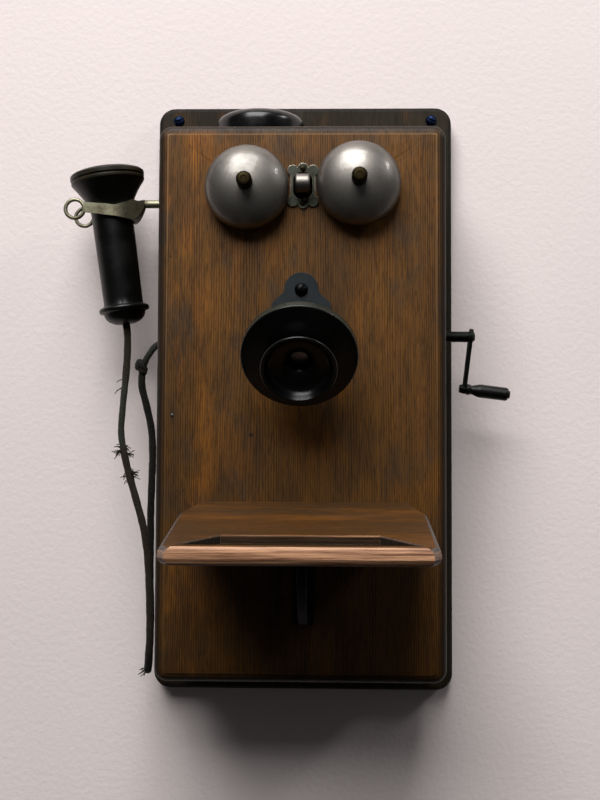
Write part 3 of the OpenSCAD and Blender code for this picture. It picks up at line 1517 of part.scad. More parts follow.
module receiver_cord() {
    rings = [for (i = [0 : len(cord_line) - 1], k = [0 : cord_facets - 1])
        let (a = 360 * k / cord_facets, side = cord_sides[i], up = cross(cord_dirs[i], side))
        cord_line[i] + cord_d / 2 * (cos(a) * side + sin(a) * up)];
    last = len(cord_line) - 1;
    walls = [for (i = [0 : last - 1], k = [0 : cord_facets - 1])
        let (a = i * cord_facets + k, b = i * cord_facets + (k + 1) % cord_facets)
        each [[a, b + cord_facets, b], [a, a + cord_facets, b + cord_facets]]];
    ends = [[for (k = [0 : cord_facets - 1]) k],
        [for (k = [cord_facets - 1 : -1 : 0]) last * cord_facets + k]];
    color("#4a3b2c") polyhedron(points = rings, faces = concat(walls, ends));
}

backboard();
left_side();
right_side();
top_board();
bottom_board();
generator_shelf();
cover_base();
terminal_cover();
box_hinge_leaves();
hinge_pins();
door_catch();
crank_bushing();
cord_bushing();
generator_base();
generator_end_plates();
generator_magnets();
pole_pieces();
dry_cells();
binding_posts();
induction_coil();
coil_base();
terminal_block();
hook_frame();
hook_pin();
spring_block();
switch_springs();
receiver_cord();
door_panel();
door_hinge_leaves();
gong_left();
gong_right();
gong_posts();
gong_nuts();
hammer_plate();
ringer_frame();
ringer_coils();
ringer_magnet();
transmitter_bracket();
tilt_bolt();
writing_shelf();
shelf_stay();
clapper_armature();
clapper_rod();
hammer();
transmitter_case();
transmitter_face();
mouthpiece();
transmitter_diaphragm();
carbon_button();
crank_shaft();
drive_gear();
crank_arm();
grip_pin();
crank_grip();
generator_armature();
pinion();
hook_lever();
receiver_ear_cap();
receiver_shell();
receiver_magnet();
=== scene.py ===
"""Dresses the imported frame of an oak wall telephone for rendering, laid out as a Blender add-on."""

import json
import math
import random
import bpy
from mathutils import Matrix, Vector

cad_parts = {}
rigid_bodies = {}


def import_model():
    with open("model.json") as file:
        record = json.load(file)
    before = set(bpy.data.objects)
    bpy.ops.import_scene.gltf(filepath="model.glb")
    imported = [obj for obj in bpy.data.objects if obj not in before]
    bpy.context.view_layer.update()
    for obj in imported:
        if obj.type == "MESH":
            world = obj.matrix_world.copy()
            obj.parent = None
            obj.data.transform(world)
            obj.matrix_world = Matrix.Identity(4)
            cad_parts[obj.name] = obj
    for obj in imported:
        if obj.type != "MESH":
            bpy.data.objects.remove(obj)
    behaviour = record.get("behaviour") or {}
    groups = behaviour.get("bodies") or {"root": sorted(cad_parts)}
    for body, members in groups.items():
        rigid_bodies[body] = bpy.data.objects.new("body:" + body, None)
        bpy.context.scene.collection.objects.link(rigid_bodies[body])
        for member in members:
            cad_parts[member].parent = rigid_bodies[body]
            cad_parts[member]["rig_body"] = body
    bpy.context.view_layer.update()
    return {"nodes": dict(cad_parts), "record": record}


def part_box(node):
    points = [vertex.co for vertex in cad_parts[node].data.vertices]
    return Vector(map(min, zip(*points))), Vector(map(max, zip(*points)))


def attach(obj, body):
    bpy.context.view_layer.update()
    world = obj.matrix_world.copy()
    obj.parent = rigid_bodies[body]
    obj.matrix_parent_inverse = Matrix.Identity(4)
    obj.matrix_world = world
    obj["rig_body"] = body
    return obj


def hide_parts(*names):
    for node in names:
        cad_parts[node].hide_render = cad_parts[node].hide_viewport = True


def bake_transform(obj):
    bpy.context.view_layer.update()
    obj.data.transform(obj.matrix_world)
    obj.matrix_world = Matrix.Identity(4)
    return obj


bl_info = {
    "name": "Oak wall telephone",
    "version": (1, 1, 0),
    "blender": (4, 5, 0),
    "location": "View3D > Sidebar > Telephone",
    "description": "Builds the finishes, the cord and the small parts of a magneto wall telephone",
    "category": "Add Mesh",
}

import bmesh
import bpy
from bpy.props import FloatProperty, FloatVectorProperty, PointerProperty
from mathutils import Matrix, Vector

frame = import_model()

MM = 0.001
PIVOTS = {j["name"]: Vector(j["pos_m"]) for j in frame["record"]["behaviour"]["joints"] if "pos_m" in j}
# Points of a mesh that are closer than this, in metres, are one point.
SEAM = 2e-6
# Length of one band of Blender's wave texture at a scale of 1.
WAVE_BAND = 2 * math.pi / 20
# Angles between two faces, in degrees, past which their edge stays sharp or is rounded.
SHARP = 35
ROUNDED = 40


def linear(tint):
    """A colour as the linear RGBA that a shader takes, from an sRGB hex code or a linear colour."""
    if not isinstance(tint, str):
        return tuple(tint)
    channels = [int(tint[i : i + 2], 16) / 255 for i in (1, 3, 5)]
    return tuple(c / 12.92 if c <= 0.04045 else ((c + 0.055) / 1.055) ** 2.4 for c in channels) + (1.0,)


def darkened(tint, share):
    """A colour that gives back only a share of its light."""
    return [v * share for v in linear(tint)[:3]] + [1.0]


def colour(name, description, code):
    """A colour property whose default is an sRGB hex colour."""
    return FloatVectorProperty(
        name=name, description=description, default=linear(code), size=4, subtype="COLOR", min=0, max=1
    )


def length(name, description, value):
    """A length property given in millimetres and kept in metres."""
    return FloatProperty(name=name, description=description, default=value * MM, unit="LENGTH", min=0)


class TelephoneSizes(bpy.types.PropertyGroup):
    """Sizes that a user would change."""

    grain_pitch: length("Grain pitch", "Distance between the oak's growth lines", 2.2)
    cord_width: length("Cord diameter", "Diameter of the braided cord", 6.2)
    knot_radius: length("Knot radius", "Radius of the knot in the cord", 6.4)
    braid_pitch: length("Braid pitch", "Length of one turn of the braid's threads", 9)
    wall_screw: length("Wall screw head", "Diameter of the heads of the backboard's screws", 11)
    bracket_screw: length("Bracket screw head", "Diameter of the head of the bracket's screw", 12)
    plate_screw: length("Plate screw head", "Diameter of the heads of the hammer plate's screws", 5.6)
    nail_head: length("Nail head", "Diameter of the nail's head in the door", 3)


class TelephoneColours(bpy.types.PropertyGroup):
    """Colours that a user would change."""

    oak: colour("Oak", "Varnished oak of the door between its dark lines", "#744c1e")
    oak_line: colour("Oak lines", "Growth lines and pores of the door's oak", "#221506")
    oak_worn: colour("Worn oak", "Oak where the varnish has gone orange", "#ac681f")
    case_oak: colour("Case oak", "Darker oak of the case", "#4f3519")
    shelf_oak: colour("Shelf oak", "Oak of the writing shelf", "#523312")
    board_oak: colour("Backboard oak", "Weathered oak of the backboard", "#2d2412")
    # Near-black colour of the painted shade at the boards' edges, and of the door's knot and dent.
    grime: colour("Shade and marks", "Painted shade at the boards' edges, and the door's knot and dent", "#120e09")
    nickel: colour("Nickel", "Worn nickel plate", "#827c76")
    tarnish: colour("Tarnish", "Dull grey tarnish on nickel", "#4c4d47")
    brass: colour("Brass", "Aged brass", "#6e5a34")
    iron: colour("Iron", "Blue-black japanned iron", "#12181b")
    enamel: colour("Black enamel", "Black stove enamel of the transmitter", "#030403")
    rubber: colour("Hard rubber", "Black hard rubber of the receiver", "#030403")
    wall: colour("Wall", "Painted plaster wall", "#e2d6d3")
    floor: colour("Floor", "Plain pale floor", "#cfc8c4")


def sizes():
    return bpy.context.scene.telephone_sizes


def colours():
    return bpy.context.scene.telephone_colours


# Node trees and finishes


def add(tree, kind, inputs=None, out=0, stops=(), **settings):
    """Adds a node with its inputs, settings and ramp stops, and gives back one output, or all for None."""
    node = tree.nodes.new(kind)
    for key, value in settings.items():
        setattr(node, key, value)
    for key, value in (inputs or {}).items():
        if isinstance(value, bpy.types.NodeSocket):
            tree.links.new(value, node.inputs[key])
        else:
            node.inputs[key].default_value = value
    for i, (place, tint) in enumerate(stops):
        elements = node.color_ramp.elements
        stop = elements[i] if i < 2 else elements.new(place)
        stop.position = place
        stop.color = tint
    return node.outputs if out is None else node.outputs[out]


def finish(name, base, patterns, layers, gloss, relief, more=None, **sockets):
    """A material whose colours, roughness and bump follow named patterns of real sizes.

    patterns: size in millimetres along X, Y and Z, detail, and the noise's values that count as 0 and 1
    layers: pattern, how much of it shows, colour laid over what is below
    gloss: roughness, then each pattern with what it adds
    relief: depth in millimetres, then each pattern with its share
    more: a function that makes further patterns from the tree, the place and the patterns so far
    sockets: further values of the shader, with _ for a space in a name
    """
    material = bpy.data.materials.new(name)
    material.use_nodes = True
    tree = material.node_tree
    shader = tree.nodes["Principled BSDF"]
    for key, value in sockets.items():
        shader.inputs[key.replace("_", " ")].default_value = value
    place = add(tree, "ShaderNodeTexCoord", out="Object")
    shares = {}
    for key, (size, detail, low, high) in patterns.items():
        spread = add(tree, "ShaderNodeMapping", {"Vector": place, "Scale": [1 / (v * MM) for v in size]})
        noise = add(
            tree, "ShaderNodeTexNoise", {"Vector": spread, "Scale": 1.0, "Detail": detail, "Roughness": 0.58}
        )
        shares[key] = add(tree, "ShaderNodeMapRange", {0: noise, 1: low, 2: high})
    if more:
        shares.update(more(tree, place, shares))
    tint = linear(base)
    for key, amount, over in layers:
        part = add(tree, "ShaderNodeMath", {0: shares[key], 1: amount}, operation="MULTIPLY")
        tint = add(tree, "ShaderNodeMix", {0: part, 6: tint, 7: linear(over)}, out=2, data_type="RGBA")
    tree.links.new(tint, shader.inputs["Base Color"])

    def total(value, parts):
        for key, amount in parts:
            value = add(
                tree, "ShaderNodeMath", {0: shares[key], 1: amount, 2: value}, operation="MULTIPLY_ADD"
            )
        return value

    tree.links.new(total(gloss[0], gloss[1:]), shader.inputs["Roughness"])
    height = total(0.0, relief[1:])
    raised = add(tree, "ShaderNodeBump", {"Height": height, "Distance": relief[0] * MM, "Strength": 1.0})
    tree.links.new(raised, shader.inputs["Normal"])
    return material


def cube(size):
    return (size, size, size)


def oak(name, grain, across, base, line, worn, orange=0.4, stain=0.45, roughness=0.4, more=None, layers=()):
    """Flat-sawn oak under old varnish: growth lines, open pores, orange patches and grey water stains.

    grain: the axis along the fibres
    across: the direction in which the growth lines follow each other
    base, line, worn: colours between the lines, of the lines and pores, and of the orange patches
    orange, stain: how much of the orange patches and of the grey stains shows
    """
    lengthwise = {"X": (1, 0, 0), "Z": (0, 0, 1)}[grain]

    def grown(width, run):
        return tuple(run if part else width for part in lengthwise)

    def growth(tree, place, shares):
        crossing = add(
            tree, "ShaderNodeVectorMath", {0: place, 1: across}, out="Value", operation="DOT_PRODUCT"
        )
        along = add(
            tree, "ShaderNodeVectorMath", {0: place, 1: lengthwise}, out="Value", operation="DOT_PRODUCT"
        )
        # The lines wander by up to 9 mm over the height of the door.
        drift = add(
            tree, "ShaderNodeMath", {0: shares["sway"], 1: 9 * MM, 2: crossing}, operation="MULTIPLY_ADD"
        )
        slow = add(tree, "ShaderNodeMath", {0: along, 1: 0.1}, operation="MULTIPLY")
        spot = add(tree, "ShaderNodeCombineXYZ", {"X": drift, "Z": slow})
        waves = add(
            tree,
            "ShaderNodeTexWave",
            {
                "Vector": spot,
                "Scale": WAVE_BAND / sizes().grain_pitch,
                "Distortion": 1.5,
                "Detail": 2.0,
                "Detail Scale": 0.35,
            },
            out="Fac",
            bands_direction="X",
        )
        narrow = add(tree, "ShaderNodeMath", {0: waves, 1: 1.5}, operation="POWER")
        lines = add(tree, "ShaderNodeMath", {0: narrow, 1: shares["bands"]}, operation="MULTIPLY")
        made = {"lines": lines}
        if more:
            made.update(more(tree, place, {**shares, **made}))
        return made

    return finish(
        name,
        base,
        {
            "sway": (grown(110, 620), 2, 0.3, 0.7),
            "bands": (grown(14, 380), 3, 0.25, 0.6),
            "fibres": (grown(1.7, 60), 4, 0.36, 0.66),
            "pores": (grown(1.2, 12), 3, 0.5, 0.64),
            "patches": (grown(45, 110), 5, 0.4, 0.66),
            "orange": (grown(26, 100), 5, 0.5, 0.66),
            "stain": (grown(30, 60), 4, 0.53, 0.66),
        },
        [
            ("patches", 0.55, line),
            ("orange", orange, worn),
            ("stain", stain, "#3d3730"),
            ("fibres", 0.36, line),
            ("lines", 0.75, line),
            ("pores", 0.45, darkened(line, 0.5)),
            *layers,
        ],
        (roughness, ("fibres", 0.1), ("patches", 0.08)),
        (0.08, ("lines", -0.6), ("pores", -1.0), ("fibres", -0.3)),
        growth,
        Specular_IOR_Level=0.2,
    )


def metal(name, base, tarnish, roughness=0.3, spots=0.5, more=None, layers=()):
    """Old metal: brighter where hands and use keep it so, dull elsewhere, with fine handling marks."""
    return finish(
        name,
        base,
        {
            "cloud": (cube(17), 5, 0.4, 0.7),
            "speck": (cube(2.2), 3, 0.54, 0.7),
            "marks": (cube(5), 4, 0.3, 0.7),
        },
        [("cloud", spots, tarnish), ("speck", spots * 0.6, tarnish), *layers],
        (roughness, ("cloud", 0.18), ("marks", 0.08)),
        (0.015, ("marks", 1.0), ("speck", -0.4)),
        more,
        Metallic=1.0,
    )


def coating(name, base, worn, roughness=0.2, wear=0.4, relief=0.006, shine=0.25, more=None, layers=()):
    """Enamel, japan, rubber or glaze: glossy where it is sound, dull and browner where it has aged."""
    return finish(
        name,
        base,
        {"cloud": (cube(22), 5, 0.42, 0.72), "grit": (cube(1.4), 3, 0.3, 0.7)},
        [("cloud", wear, worn), ("grit", wear * 0.25, worn), *layers],
        (roughness, ("cloud", 0.14), ("grit", 0.04)),
        (relief, ("grit", 1.0)),
        more,
        Specular_IOR_Level=shine,
    )


def border(node, grime, arris):
    """Patterns that follow a board's outline: painted shade from its edge inwards, and a thin painted
    highlight line near the edge.

    grime: millimetres from the edge up to which the painted shade is full, and where it ends
    arris: millimetres from the edge to the middle of the painted highlight line
    """
    lo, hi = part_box(node)
    half = (hi - lo) / 2
    middle = (hi.z + lo.z) / 2

    def patterns(tree, place, shares):
        parts = add(tree, "ShaderNodeSeparateXYZ", {0: place}, out=None)
        level = add(tree, "ShaderNodeMath", {0: parts["Z"], 1: middle}, operation="SUBTRACT")
        gaps = []
        for value, reach in ((parts["X"], half.x), (level, half.z)):
            size = add(tree, "ShaderNodeMath", {0: value}, operation="ABSOLUTE")
            gaps.append(add(tree, "ShaderNodeMath", {0: reach, 1: size}, operation="SUBTRACT"))
        near = add(tree, "ShaderNodeMath", {0: gaps[0], 1: gaps[1]}, operation="MINIMUM")
        edge_shade = add(tree, "ShaderNodeMapRange", {0: near, 1: grime[1] * MM, 2: grime[0] * MM})
        flanks = []
        for way in (-1, 1):
            faint, full = ((arris + way * off) * MM for off in (0.9, 0.2))
            flanks.append(add(tree, "ShaderNodeMapRange", {0: near, 1: faint, 2: full}))
        ridge = add(tree, "ShaderNodeMath", {0: flanks[0], 1: flanks[1]}, operation="MULTIPLY")
        # The painted highlight line is brightest along the board's top edge, where the light falls, and
        # faint down its sides.
        high = add(tree, "ShaderNodeMapRange", {0: parts["Z"], 1: middle - 0.05, 2: hi.z, 3: 0.15, 4: 1.0})
        return {
            "grime": edge_shade,
            "arris": add(tree, "ShaderNodeMath", {0: ridge, 1: high}, operation="MULTIPLY"),
        }

    return patterns


# Meshes


def smoothed(name, mesh, angle=SHARP):
    """Makes an object from a mesh, smooth except at edges sharper than the angle."""
    for face in mesh.polygons:
        face.use_smooth = True
    mesh.set_sharp_from_angle(angle=math.radians(angle))
    piece = bpy.data.objects.new(name, mesh)
    bpy.context.scene.collection.objects.link(piece)
    return piece


def finish_mesh(name, builder, material, angle=SHARP):
    """Makes a smoothed object of one material from a bmesh."""
    mesh = bpy.data.meshes.new(name)
    builder.to_mesh(mesh)
    builder.free()
    mesh.materials.append(material)
    return smoothed(name, mesh, angle)


def settle(piece, body, node=None):
    """Puts a piece on its body and in the place of the CAD node that it stands for."""
    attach(piece, body)
    if node:
        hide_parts(node)


def dress(node, name, material, angle=32, edge=0.0, rubbed=None):
    """A copy of a CAD node with its seams merged, its curves smooth and its edges rounded or rubbed.

    angle: degrees past which an edge stays sharp
    edge: width of the rounded edges in millimetres
    rubbed: a material for the rounded edges alone
    """
    source = frame["nodes"][node]
    builder = bmesh.new()
    builder.from_mesh(source.data)
    bmesh.ops.remove_doubles(builder, verts=builder.verts, dist=SEAM)
    piece = finish_mesh(name, builder, material, angle)
    if edge:
        rounding = piece.modifiers.new("edges", "BEVEL")
        rounding.width = edge * MM
        rounding.segments = 2
        rounding.limit_method = "ANGLE"
        rounding.angle_limit = math.radians(ROUNDED)
        if rubbed:
            piece.data.materials.append(rubbed)
            rounding.material = 1
    # Large flat faces keep their own normals next to small rounded ones.
    shading = piece.modifiers.new("shading", "WEIGHTED_NORMAL")
    shading.keep_sharp = True
    shading.weight = 95
    settle(piece, source["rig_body"], node)


def paint(node, material):
    """Gives a CAD node that keeps its own shape a finish."""
    for slot in frame["nodes"][node].material_slots:
        slot.material = material


def lathe(name, profile, place, material, segments):
    """Turns a profile of (radius, height) points in millimetres, which is closed or ends on its axis."""
    builder = bmesh.new()
    rings = []
    for radius, height in profile:
        if radius < 1e-6:
            rings.append([builder.verts.new((0, 0, height * MM))])
            continue
        turns = [2 * math.pi * k / segments for k in range(segments)]
        ring = [(radius * MM * math.cos(a), radius * MM * math.sin(a), height * MM) for a in turns]
        rings.append([builder.verts.new(corner) for corner in ring])
    poles = len(rings[0]) == 1 and len(rings[-1]) == 1
    for i in range(len(profile) - 1 if poles else len(profile)):
        low, high = rings[i], rings[(i + 1) % len(profile)]
        for k in range(segments):
            n = (k + 1) % segments
            if len(low) == 1:
                builder.faces.new((low[0], high[n], high[k]))
            elif len(high) == 1:
                builder.faces.new((low[k], low[n], high[0]))
            else:
                builder.faces.new((low[k], low[n], high[n], high[k]))
    bmesh.ops.recalc_face_normals(builder, faces=builder.faces)
    layer = builder.loops.layers.uv.new("turned")
    run = [0.0]
    for (r0, h0), (r1, h1) in zip(profile, profile[1:]):
        run.append(run[-1] + math.hypot(r1 - r0, h1 - h0) * MM)
    heights = {v: run[i] for i, ring in enumerate(rings) for v in ring}
    for face in builder.faces:
        angles = [math.atan2(l.vert.co.y, l.vert.co.x) / (2 * math.pi) % 1 for l in face.loops]
        if max(angles) - min(angles) > 0.5:
            angles = [a + 1 if a < 0.5 else a for a in angles]
        for loop, a in zip(face.loops, angles):
            loop[layer].uv = (a, heights[loop.vert])
    builder.transform(place)
    return finish_mesh(name, builder, material)


def facing(x, depth, z):
    """The frame of something turned on an axis that points forward, from a point on it."""
    return Matrix.Translation((x * MM, -depth * MM, z * MM)) @ Matrix.Rotation(math.radians(90), 4, "X")


def tube(name, line, radius, material, sides, start=0.0):
    """A tube along a line of points in metres, whose radius is a function of the length run so far."""
    builder = bmesh.new()
    layer = builder.loops.layers.uv.new("along")
    run = [start]
    for a, b in zip(line, line[1:]):
        run.append(run[-1] + (b - a).length)
    normal = Vector((0, 1, 0))
    rings = []
    for i, point in enumerate(line):
        ahead = (line[min(i + 1, len(line) - 1)] - line[max(i - 1, 0)]).normalized()
        normal = (normal - ahead * normal.dot(ahead)).normalized()
        side = ahead.cross(normal)
        r = radius(run[i])
        turns = [2 * math.pi * k / sides for k in range(sides)]
        spokes = [math.cos(a) * normal + math.sin(a) * side for a in turns]
        rings.append([builder.verts.new(point + r * spoke) for spoke in spokes])
    for i in range(len(rings) - 1):
        for k in range(sides):
            n = (k + 1) % sides
            face = builder.faces.new((rings[i][k], rings[i][n], rings[i + 1][n], rings[i + 1][k]))
            around = (k / sides, (k + 1) / sides, (k + 1) / sides, k / sides)
            along = (run[i], run[i], run[i + 1], run[i + 1])
            for loop, u, v in zip(face.loops, around, along):
                loop[layer].uv = (u, v)
    builder.faces.new(rings[0])
    builder.faces.new(rings[-1])
    bmesh.ops.recalc_face_normals(builder, faces=builder.faces)
    return finish_mesh(name, builder, material, 50)


def joined(name, pieces):
    """One object from several, kept under one name."""
    bpy.ops.object.select_all(action="DESELECT")
    for piece in pieces:
        piece.select_set(True)
    bpy.context.view_layer.objects.active = pieces[0]
    bpy.ops.object.join()
    pieces[0].name = name
    pieces[0].data.name = name
    return pieces[0]


# Screws, made with Geometry Nodes


def screw_tree():
    """A node tree that puts a domed, slotted head on every point of a mesh."""
    tree = bpy.data.node_groups.new("slotted screw heads", "GeometryNodeTree")
    face = tree.interface
    face.new_socket("Geometry", in_out="INPUT", socket_type="NodeSocketGeometry")
    for name in ("Radius", "Height", "Slot width", "Slot depth"):
        face.new_socket(name, in_out="INPUT", socket_type="NodeSocketFloat").default_value = MM
    face.new_socket("Finish", in_out="INPUT", socket_type="NodeSocketMaterial")
    face.new_socket("Geometry", in_out="OUTPUT", socket_type="NodeSocketGeometry")
    given = add(tree, "NodeGroupInput", out=None)
    ball = add(tree, "GeometryNodeMeshUVSphere", {"Segments": 32, "Rings": 20, "Radius": 1.0}, out="Mesh")
    radius, height = given["Radius"], given["Height"]
    size = add(tree, "ShaderNodeCombineXYZ", {"X": radius, "Y": radius, "Z": height})
    dome = add(tree, "GeometryNodeTransform", {"Geometry": ball, "Scale": size})
    # The cutter is wider than the head, as high as it, and sunk into it by the slot's depth.
    wide = add(tree, "ShaderNodeMath", {0: radius, 1: 3.0}, operation="MULTIPLY")
    cut_size = add(tree, "ShaderNodeCombineXYZ", {"X": wide, "Y": given["Slot width"], "Z": height})
    rise = add(tree, "ShaderNodeMath", {0: height, 1: 1.5}, operation="MULTIPLY")
    lift = add(tree, "ShaderNodeMath", {0: rise, 1: given["Slot depth"]}, operation="SUBTRACT")
    place = add(tree, "ShaderNodeCombineXYZ", {"Z": lift})
    cut = add(tree, "GeometryNodeMeshCube", {"Size": (1, 1, 1)}, out="Mesh")
    cutter = add(tree, "GeometryNodeTransform", {"Geometry": cut, "Scale": cut_size, "Translation": place})
    slotted = add(
        tree, "GeometryNodeMeshBoolean", {0: dome, 1: cutter}, operation="DIFFERENCE", solver="EXACT"
    )
    turn = add(tree, "GeometryNodeInputNamedAttribute", {"Name": "turn"}, data_type="FLOAT_VECTOR")
    placed = add(
        tree,
        "GeometryNodeInstanceOnPoints",
        {"Points": given["Geometry"], "Instance": slotted, "Rotation": turn},
    )
    real = add(tree, "GeometryNodeRealizeInstances", {0: placed})
    painted = add(tree, "GeometryNodeSetMaterial", {"Geometry": real, "Material": given["Finish"]})
    add(tree, "NodeGroupOutput", {0: painted}, out=None)
    return tree


def screws(name, body, places, width, material, height=0.32, slot_width=0.16):
    """Screw heads that face forward, at (x, depth, z, turn) places in millimetres and degrees.

    width: the head's diameter in metres
    height, slot_width: shares of that width; the slot is just over half as deep as the head is high
    """
    tree = bpy.data.node_groups.get("slotted screw heads") or screw_tree()
    mesh = bpy.data.meshes.new(name)
    mesh.from_pydata([(x * MM, -depth * MM, z * MM) for x, depth, z, _ in places], [], [])
    turns = mesh.attributes.new("turn", "FLOAT_VECTOR", "POINT")
    forward = Matrix.Rotation(math.radians(90), 4, "X")
    for i, (_, _, _, turn) in enumerate(places):
        turns.data[i].vector = (forward @ Matrix.Rotation(math.radians(turn), 4, "Z")).to_euler("XYZ")
    holder = bpy.data.objects.new(name + "_points", mesh)
    bpy.context.scene.collection.objects.link(holder)
    nodes = holder.modifiers.new("heads", "NODES")
    nodes.node_group = tree
    values = {
        "Radius": width / 2,
        "Height": width * height,
        "Slot width": width * slot_width,
        "Slot depth": width * height * 0.55,
        "Finish": material,
    }
    for item in tree.interface.items_tree:
        if item.in_out == "INPUT" and item.name in values:
            nodes[item.identifier] = values[item.name]
    graph = bpy.context.evaluated_depsgraph_get()
    result = bpy.data.meshes.new_from_object(holder.evaluated_get(graph), depsgraph=graph)
    result.name = name
    bpy.data.objects.remove(holder)
    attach(smoothed(name, result), body)


# Stage


def plain_stage(name, tint, relief, shown_dark=None):
    """Matt paint or paper, seen from its front only, so that the camera can go behind it."""
    material = finish(
        name,
        tint,
        {"cloud": (cube(330), 2, 0.35, 0.65), "grit": (cube(5.5), 3, 0.3, 0.7)},
        [("cloud", 0.4, darkened(tint, 0.92))],
        (0.85, ("grit", 0.1)),
        (relief, ("grit", 1.0)),
        Specular_IOR_Level=0.2,
    )
    tree = material.node_tree
    shader = tree.nodes["Principled BSDF"]
    if shown_dark:
        # The room's own floor is dark: only the camera sees this one pale.
        pale = shader.inputs["Base Color"].links[0].from_socket
        seen = add(tree, "ShaderNodeLightPath", out="Is Camera Ray")
        dark = linear(shown_dark)
        both = add(tree, "ShaderNodeMix", {0: seen, 6: dark, 7: pale}, out=2, data_type="RGBA")
        tree.links.new(both, shader.inputs["Base Color"])
    behind = add(tree, "ShaderNodeNewGeometry", out="Backfacing")
    clear = add(tree, "ShaderNodeBsdfTransparent")
    surface = add(tree, "ShaderNodeMixShader", {0: behind, 1: shader.outputs[0], 2: clear})
    tree.links.new(surface, tree.nodes["Material Output"].inputs["Surface"])
    return material


class TELEPHONE_OT_stage(bpy.types.Operator):
    """Makes the camera, the lights, the wall and the floor"""

    bl_idname = "telephone.stage"
    bl_label = "Stage"

    def execute(self, context):
        context.scene.view_settings.view_transform = "Standard"
        self.camera(context.scene)
        self.backdrop()
        self.lights(context.scene)
        self.world(context.scene)
        return {"FINISHED"}

    def camera(self, scene):
        """The photograph's own viewpoint, 1.15 m in front of the wall."""
        lens = bpy.data.cameras.new("camera")
        lens.lens = 51.78
        lens.sensor_width = 36
        lens.shift_y = -0.040
        lens.clip_end = 50
        yaw, pitch, roll = (math.radians(a) for a in (1.49, 2.84, 0.24))
        ahead = Vector((-math.sin(yaw) * math.cos(pitch), math.cos(yaw) * math.cos(pitch), math.sin(pitch)))
        right = Vector((math.cos(yaw), math.sin(yaw), 0))
        up = right.cross(ahead)
        turned_right = math.cos(roll) * right + math.sin(roll) * up
        turned_up = -math.sin(roll) * right + math.cos(roll) * up
        axes = Matrix((turned_right, turned_up, -ahead)).transposed().to_4x4()
        holder = bpy.data.objects.new("camera", lens)
        holder.matrix_world = Matrix.Translation((0.02555, -1.1483, -0.0295)) @ axes
        scene.collection.objects.link(holder)
        scene.camera = holder

    def backdrop(self):
        """The wall has an opening behind the backboard, so that the telephone's back is lit too."""
        c = colours()
        # Warm white paint, rolled on in small grains.
        plaster = plain_stage("painted plaster", c.wall, 0.18)
        paper = plain_stage("pale floor", c.floor, 0.1, "#1f1d1c")
        # In metres: half the wall's width, its foot and top, its gap to the backboard, and how far the
        # backboard laps over the opening's rim.
        half, low, high, gap, inset = 3.0, -1.3, 3.0, 0.0004, 0.006
        lo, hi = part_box("backboard")
        outer = [(-half, low), (half, low), (half, high), (-half, high)]
        left, right, bottom, top = lo.x + inset, hi.x - inset, lo.z + inset, hi.z - inset
        inner = [(left, bottom), (right, bottom), (right, top), (left, top)]
        builder = bmesh.new()
        rows = [[builder.verts.new((x, gap, z)) for x, z in ring] for ring in (outer, inner)]
        for k in range(4):
            n = (k + 1) % 4
            builder.faces.new((rows[0][k], rows[0][n], rows[1][n], rows[1][k]))
        wall = finish_mesh("wall", builder, plaster)
        builder = bmesh.new()
        corners = [(-half, -half), (half, -half), (half, gap), (-half, gap)]
        builder.faces.new([builder.verts.new((x, y, low)) for x, y in corners])
        finish_mesh("floor", builder, paper)

    def lights(self, scene):
        """One broad soft lamp above, as from a skylight, and three narrow window panes at the right."""
        # Name, place, what it points at, width and height in metres, and power in watts.
        lamps = [("skylight", (-0.45, -2.0, 2.5), (0, 0, 0), (2.2, 2.4), 168)]
        for i, (y, z) in enumerate(((-1.15, 1.75), (-0.95, 1.8), (-0.75, 1.85))):
            lamps.append((f"window_{i + 1}", (2.2, y, z), (0, 0, 0.1), (0.05, 0.4), 5))
        for name, place, target, size, power in lamps:
            lamp = bpy.data.lights.new(name, "AREA")
            lamp.shape = "RECTANGLE"
            lamp.size, lamp.size_y = size
            lamp.energy = power
            turn = (Vector(target) - Vector(place)).to_track_quat("-Z", "Y").to_matrix().to_4x4()
            holder = bpy.data.objects.new(name, lamp)
            holder.matrix_world = Matrix.Translation(place) @ turn
            scene.collection.objects.link(holder)

    def world(self, scene):
        """A dim room, lighter overhead, at the far sides and behind the wall, and pale to the camera."""
        world = bpy.data.worlds.new("room")
        scene.world = world
        world.use_nodes = True
        tree = world.node_tree
        way = add(tree, "ShaderNodeTexCoord", out="Generated")
        parts = add(tree, "ShaderNodeSeparateXYZ", {0: way}, out=None)
        side = add(tree, "ShaderNodeMath", {0: parts["X"]}, operation="ABSOLUTE")
        light = 0.05
        # A part of the viewing direction, where a lighter zone begins and is full, and its strength.
        for value, low, high, strength in (
            (parts["Z"], 0.2, 1.0, 0.30),
            (side, 0.88, 0.98, 0.10),
            (parts["Y"], 0.0, 0.25, 0.55),
        ):
            zone = add(tree, "ShaderNodeMapRange", {0: value, 1: low, 2: high, 3: 0.0, 4: strength})
            light = add(tree, "ShaderNodeMath", {0: zone, 1: light}, operation="MAXIMUM")
        background = tree.nodes["Background"]
        background.inputs["Color"].default_value = linear("#f4f6fa")
        tree.links.new(light, background.inputs["Strength"])
        seen = add(tree, "ShaderNodeBackground", {"Color": linear("#d8d2cf"), "Strength": 1.0})
        path = add(tree, "ShaderNodeLightPath", out="Is Camera Ray")
        both = add(tree, "ShaderNodeMixShader", {0: path, 1: background.outputs[0], 2: seen})
        tree.links.new(both, tree.nodes["World Output"].inputs["Surface"])


# The cord

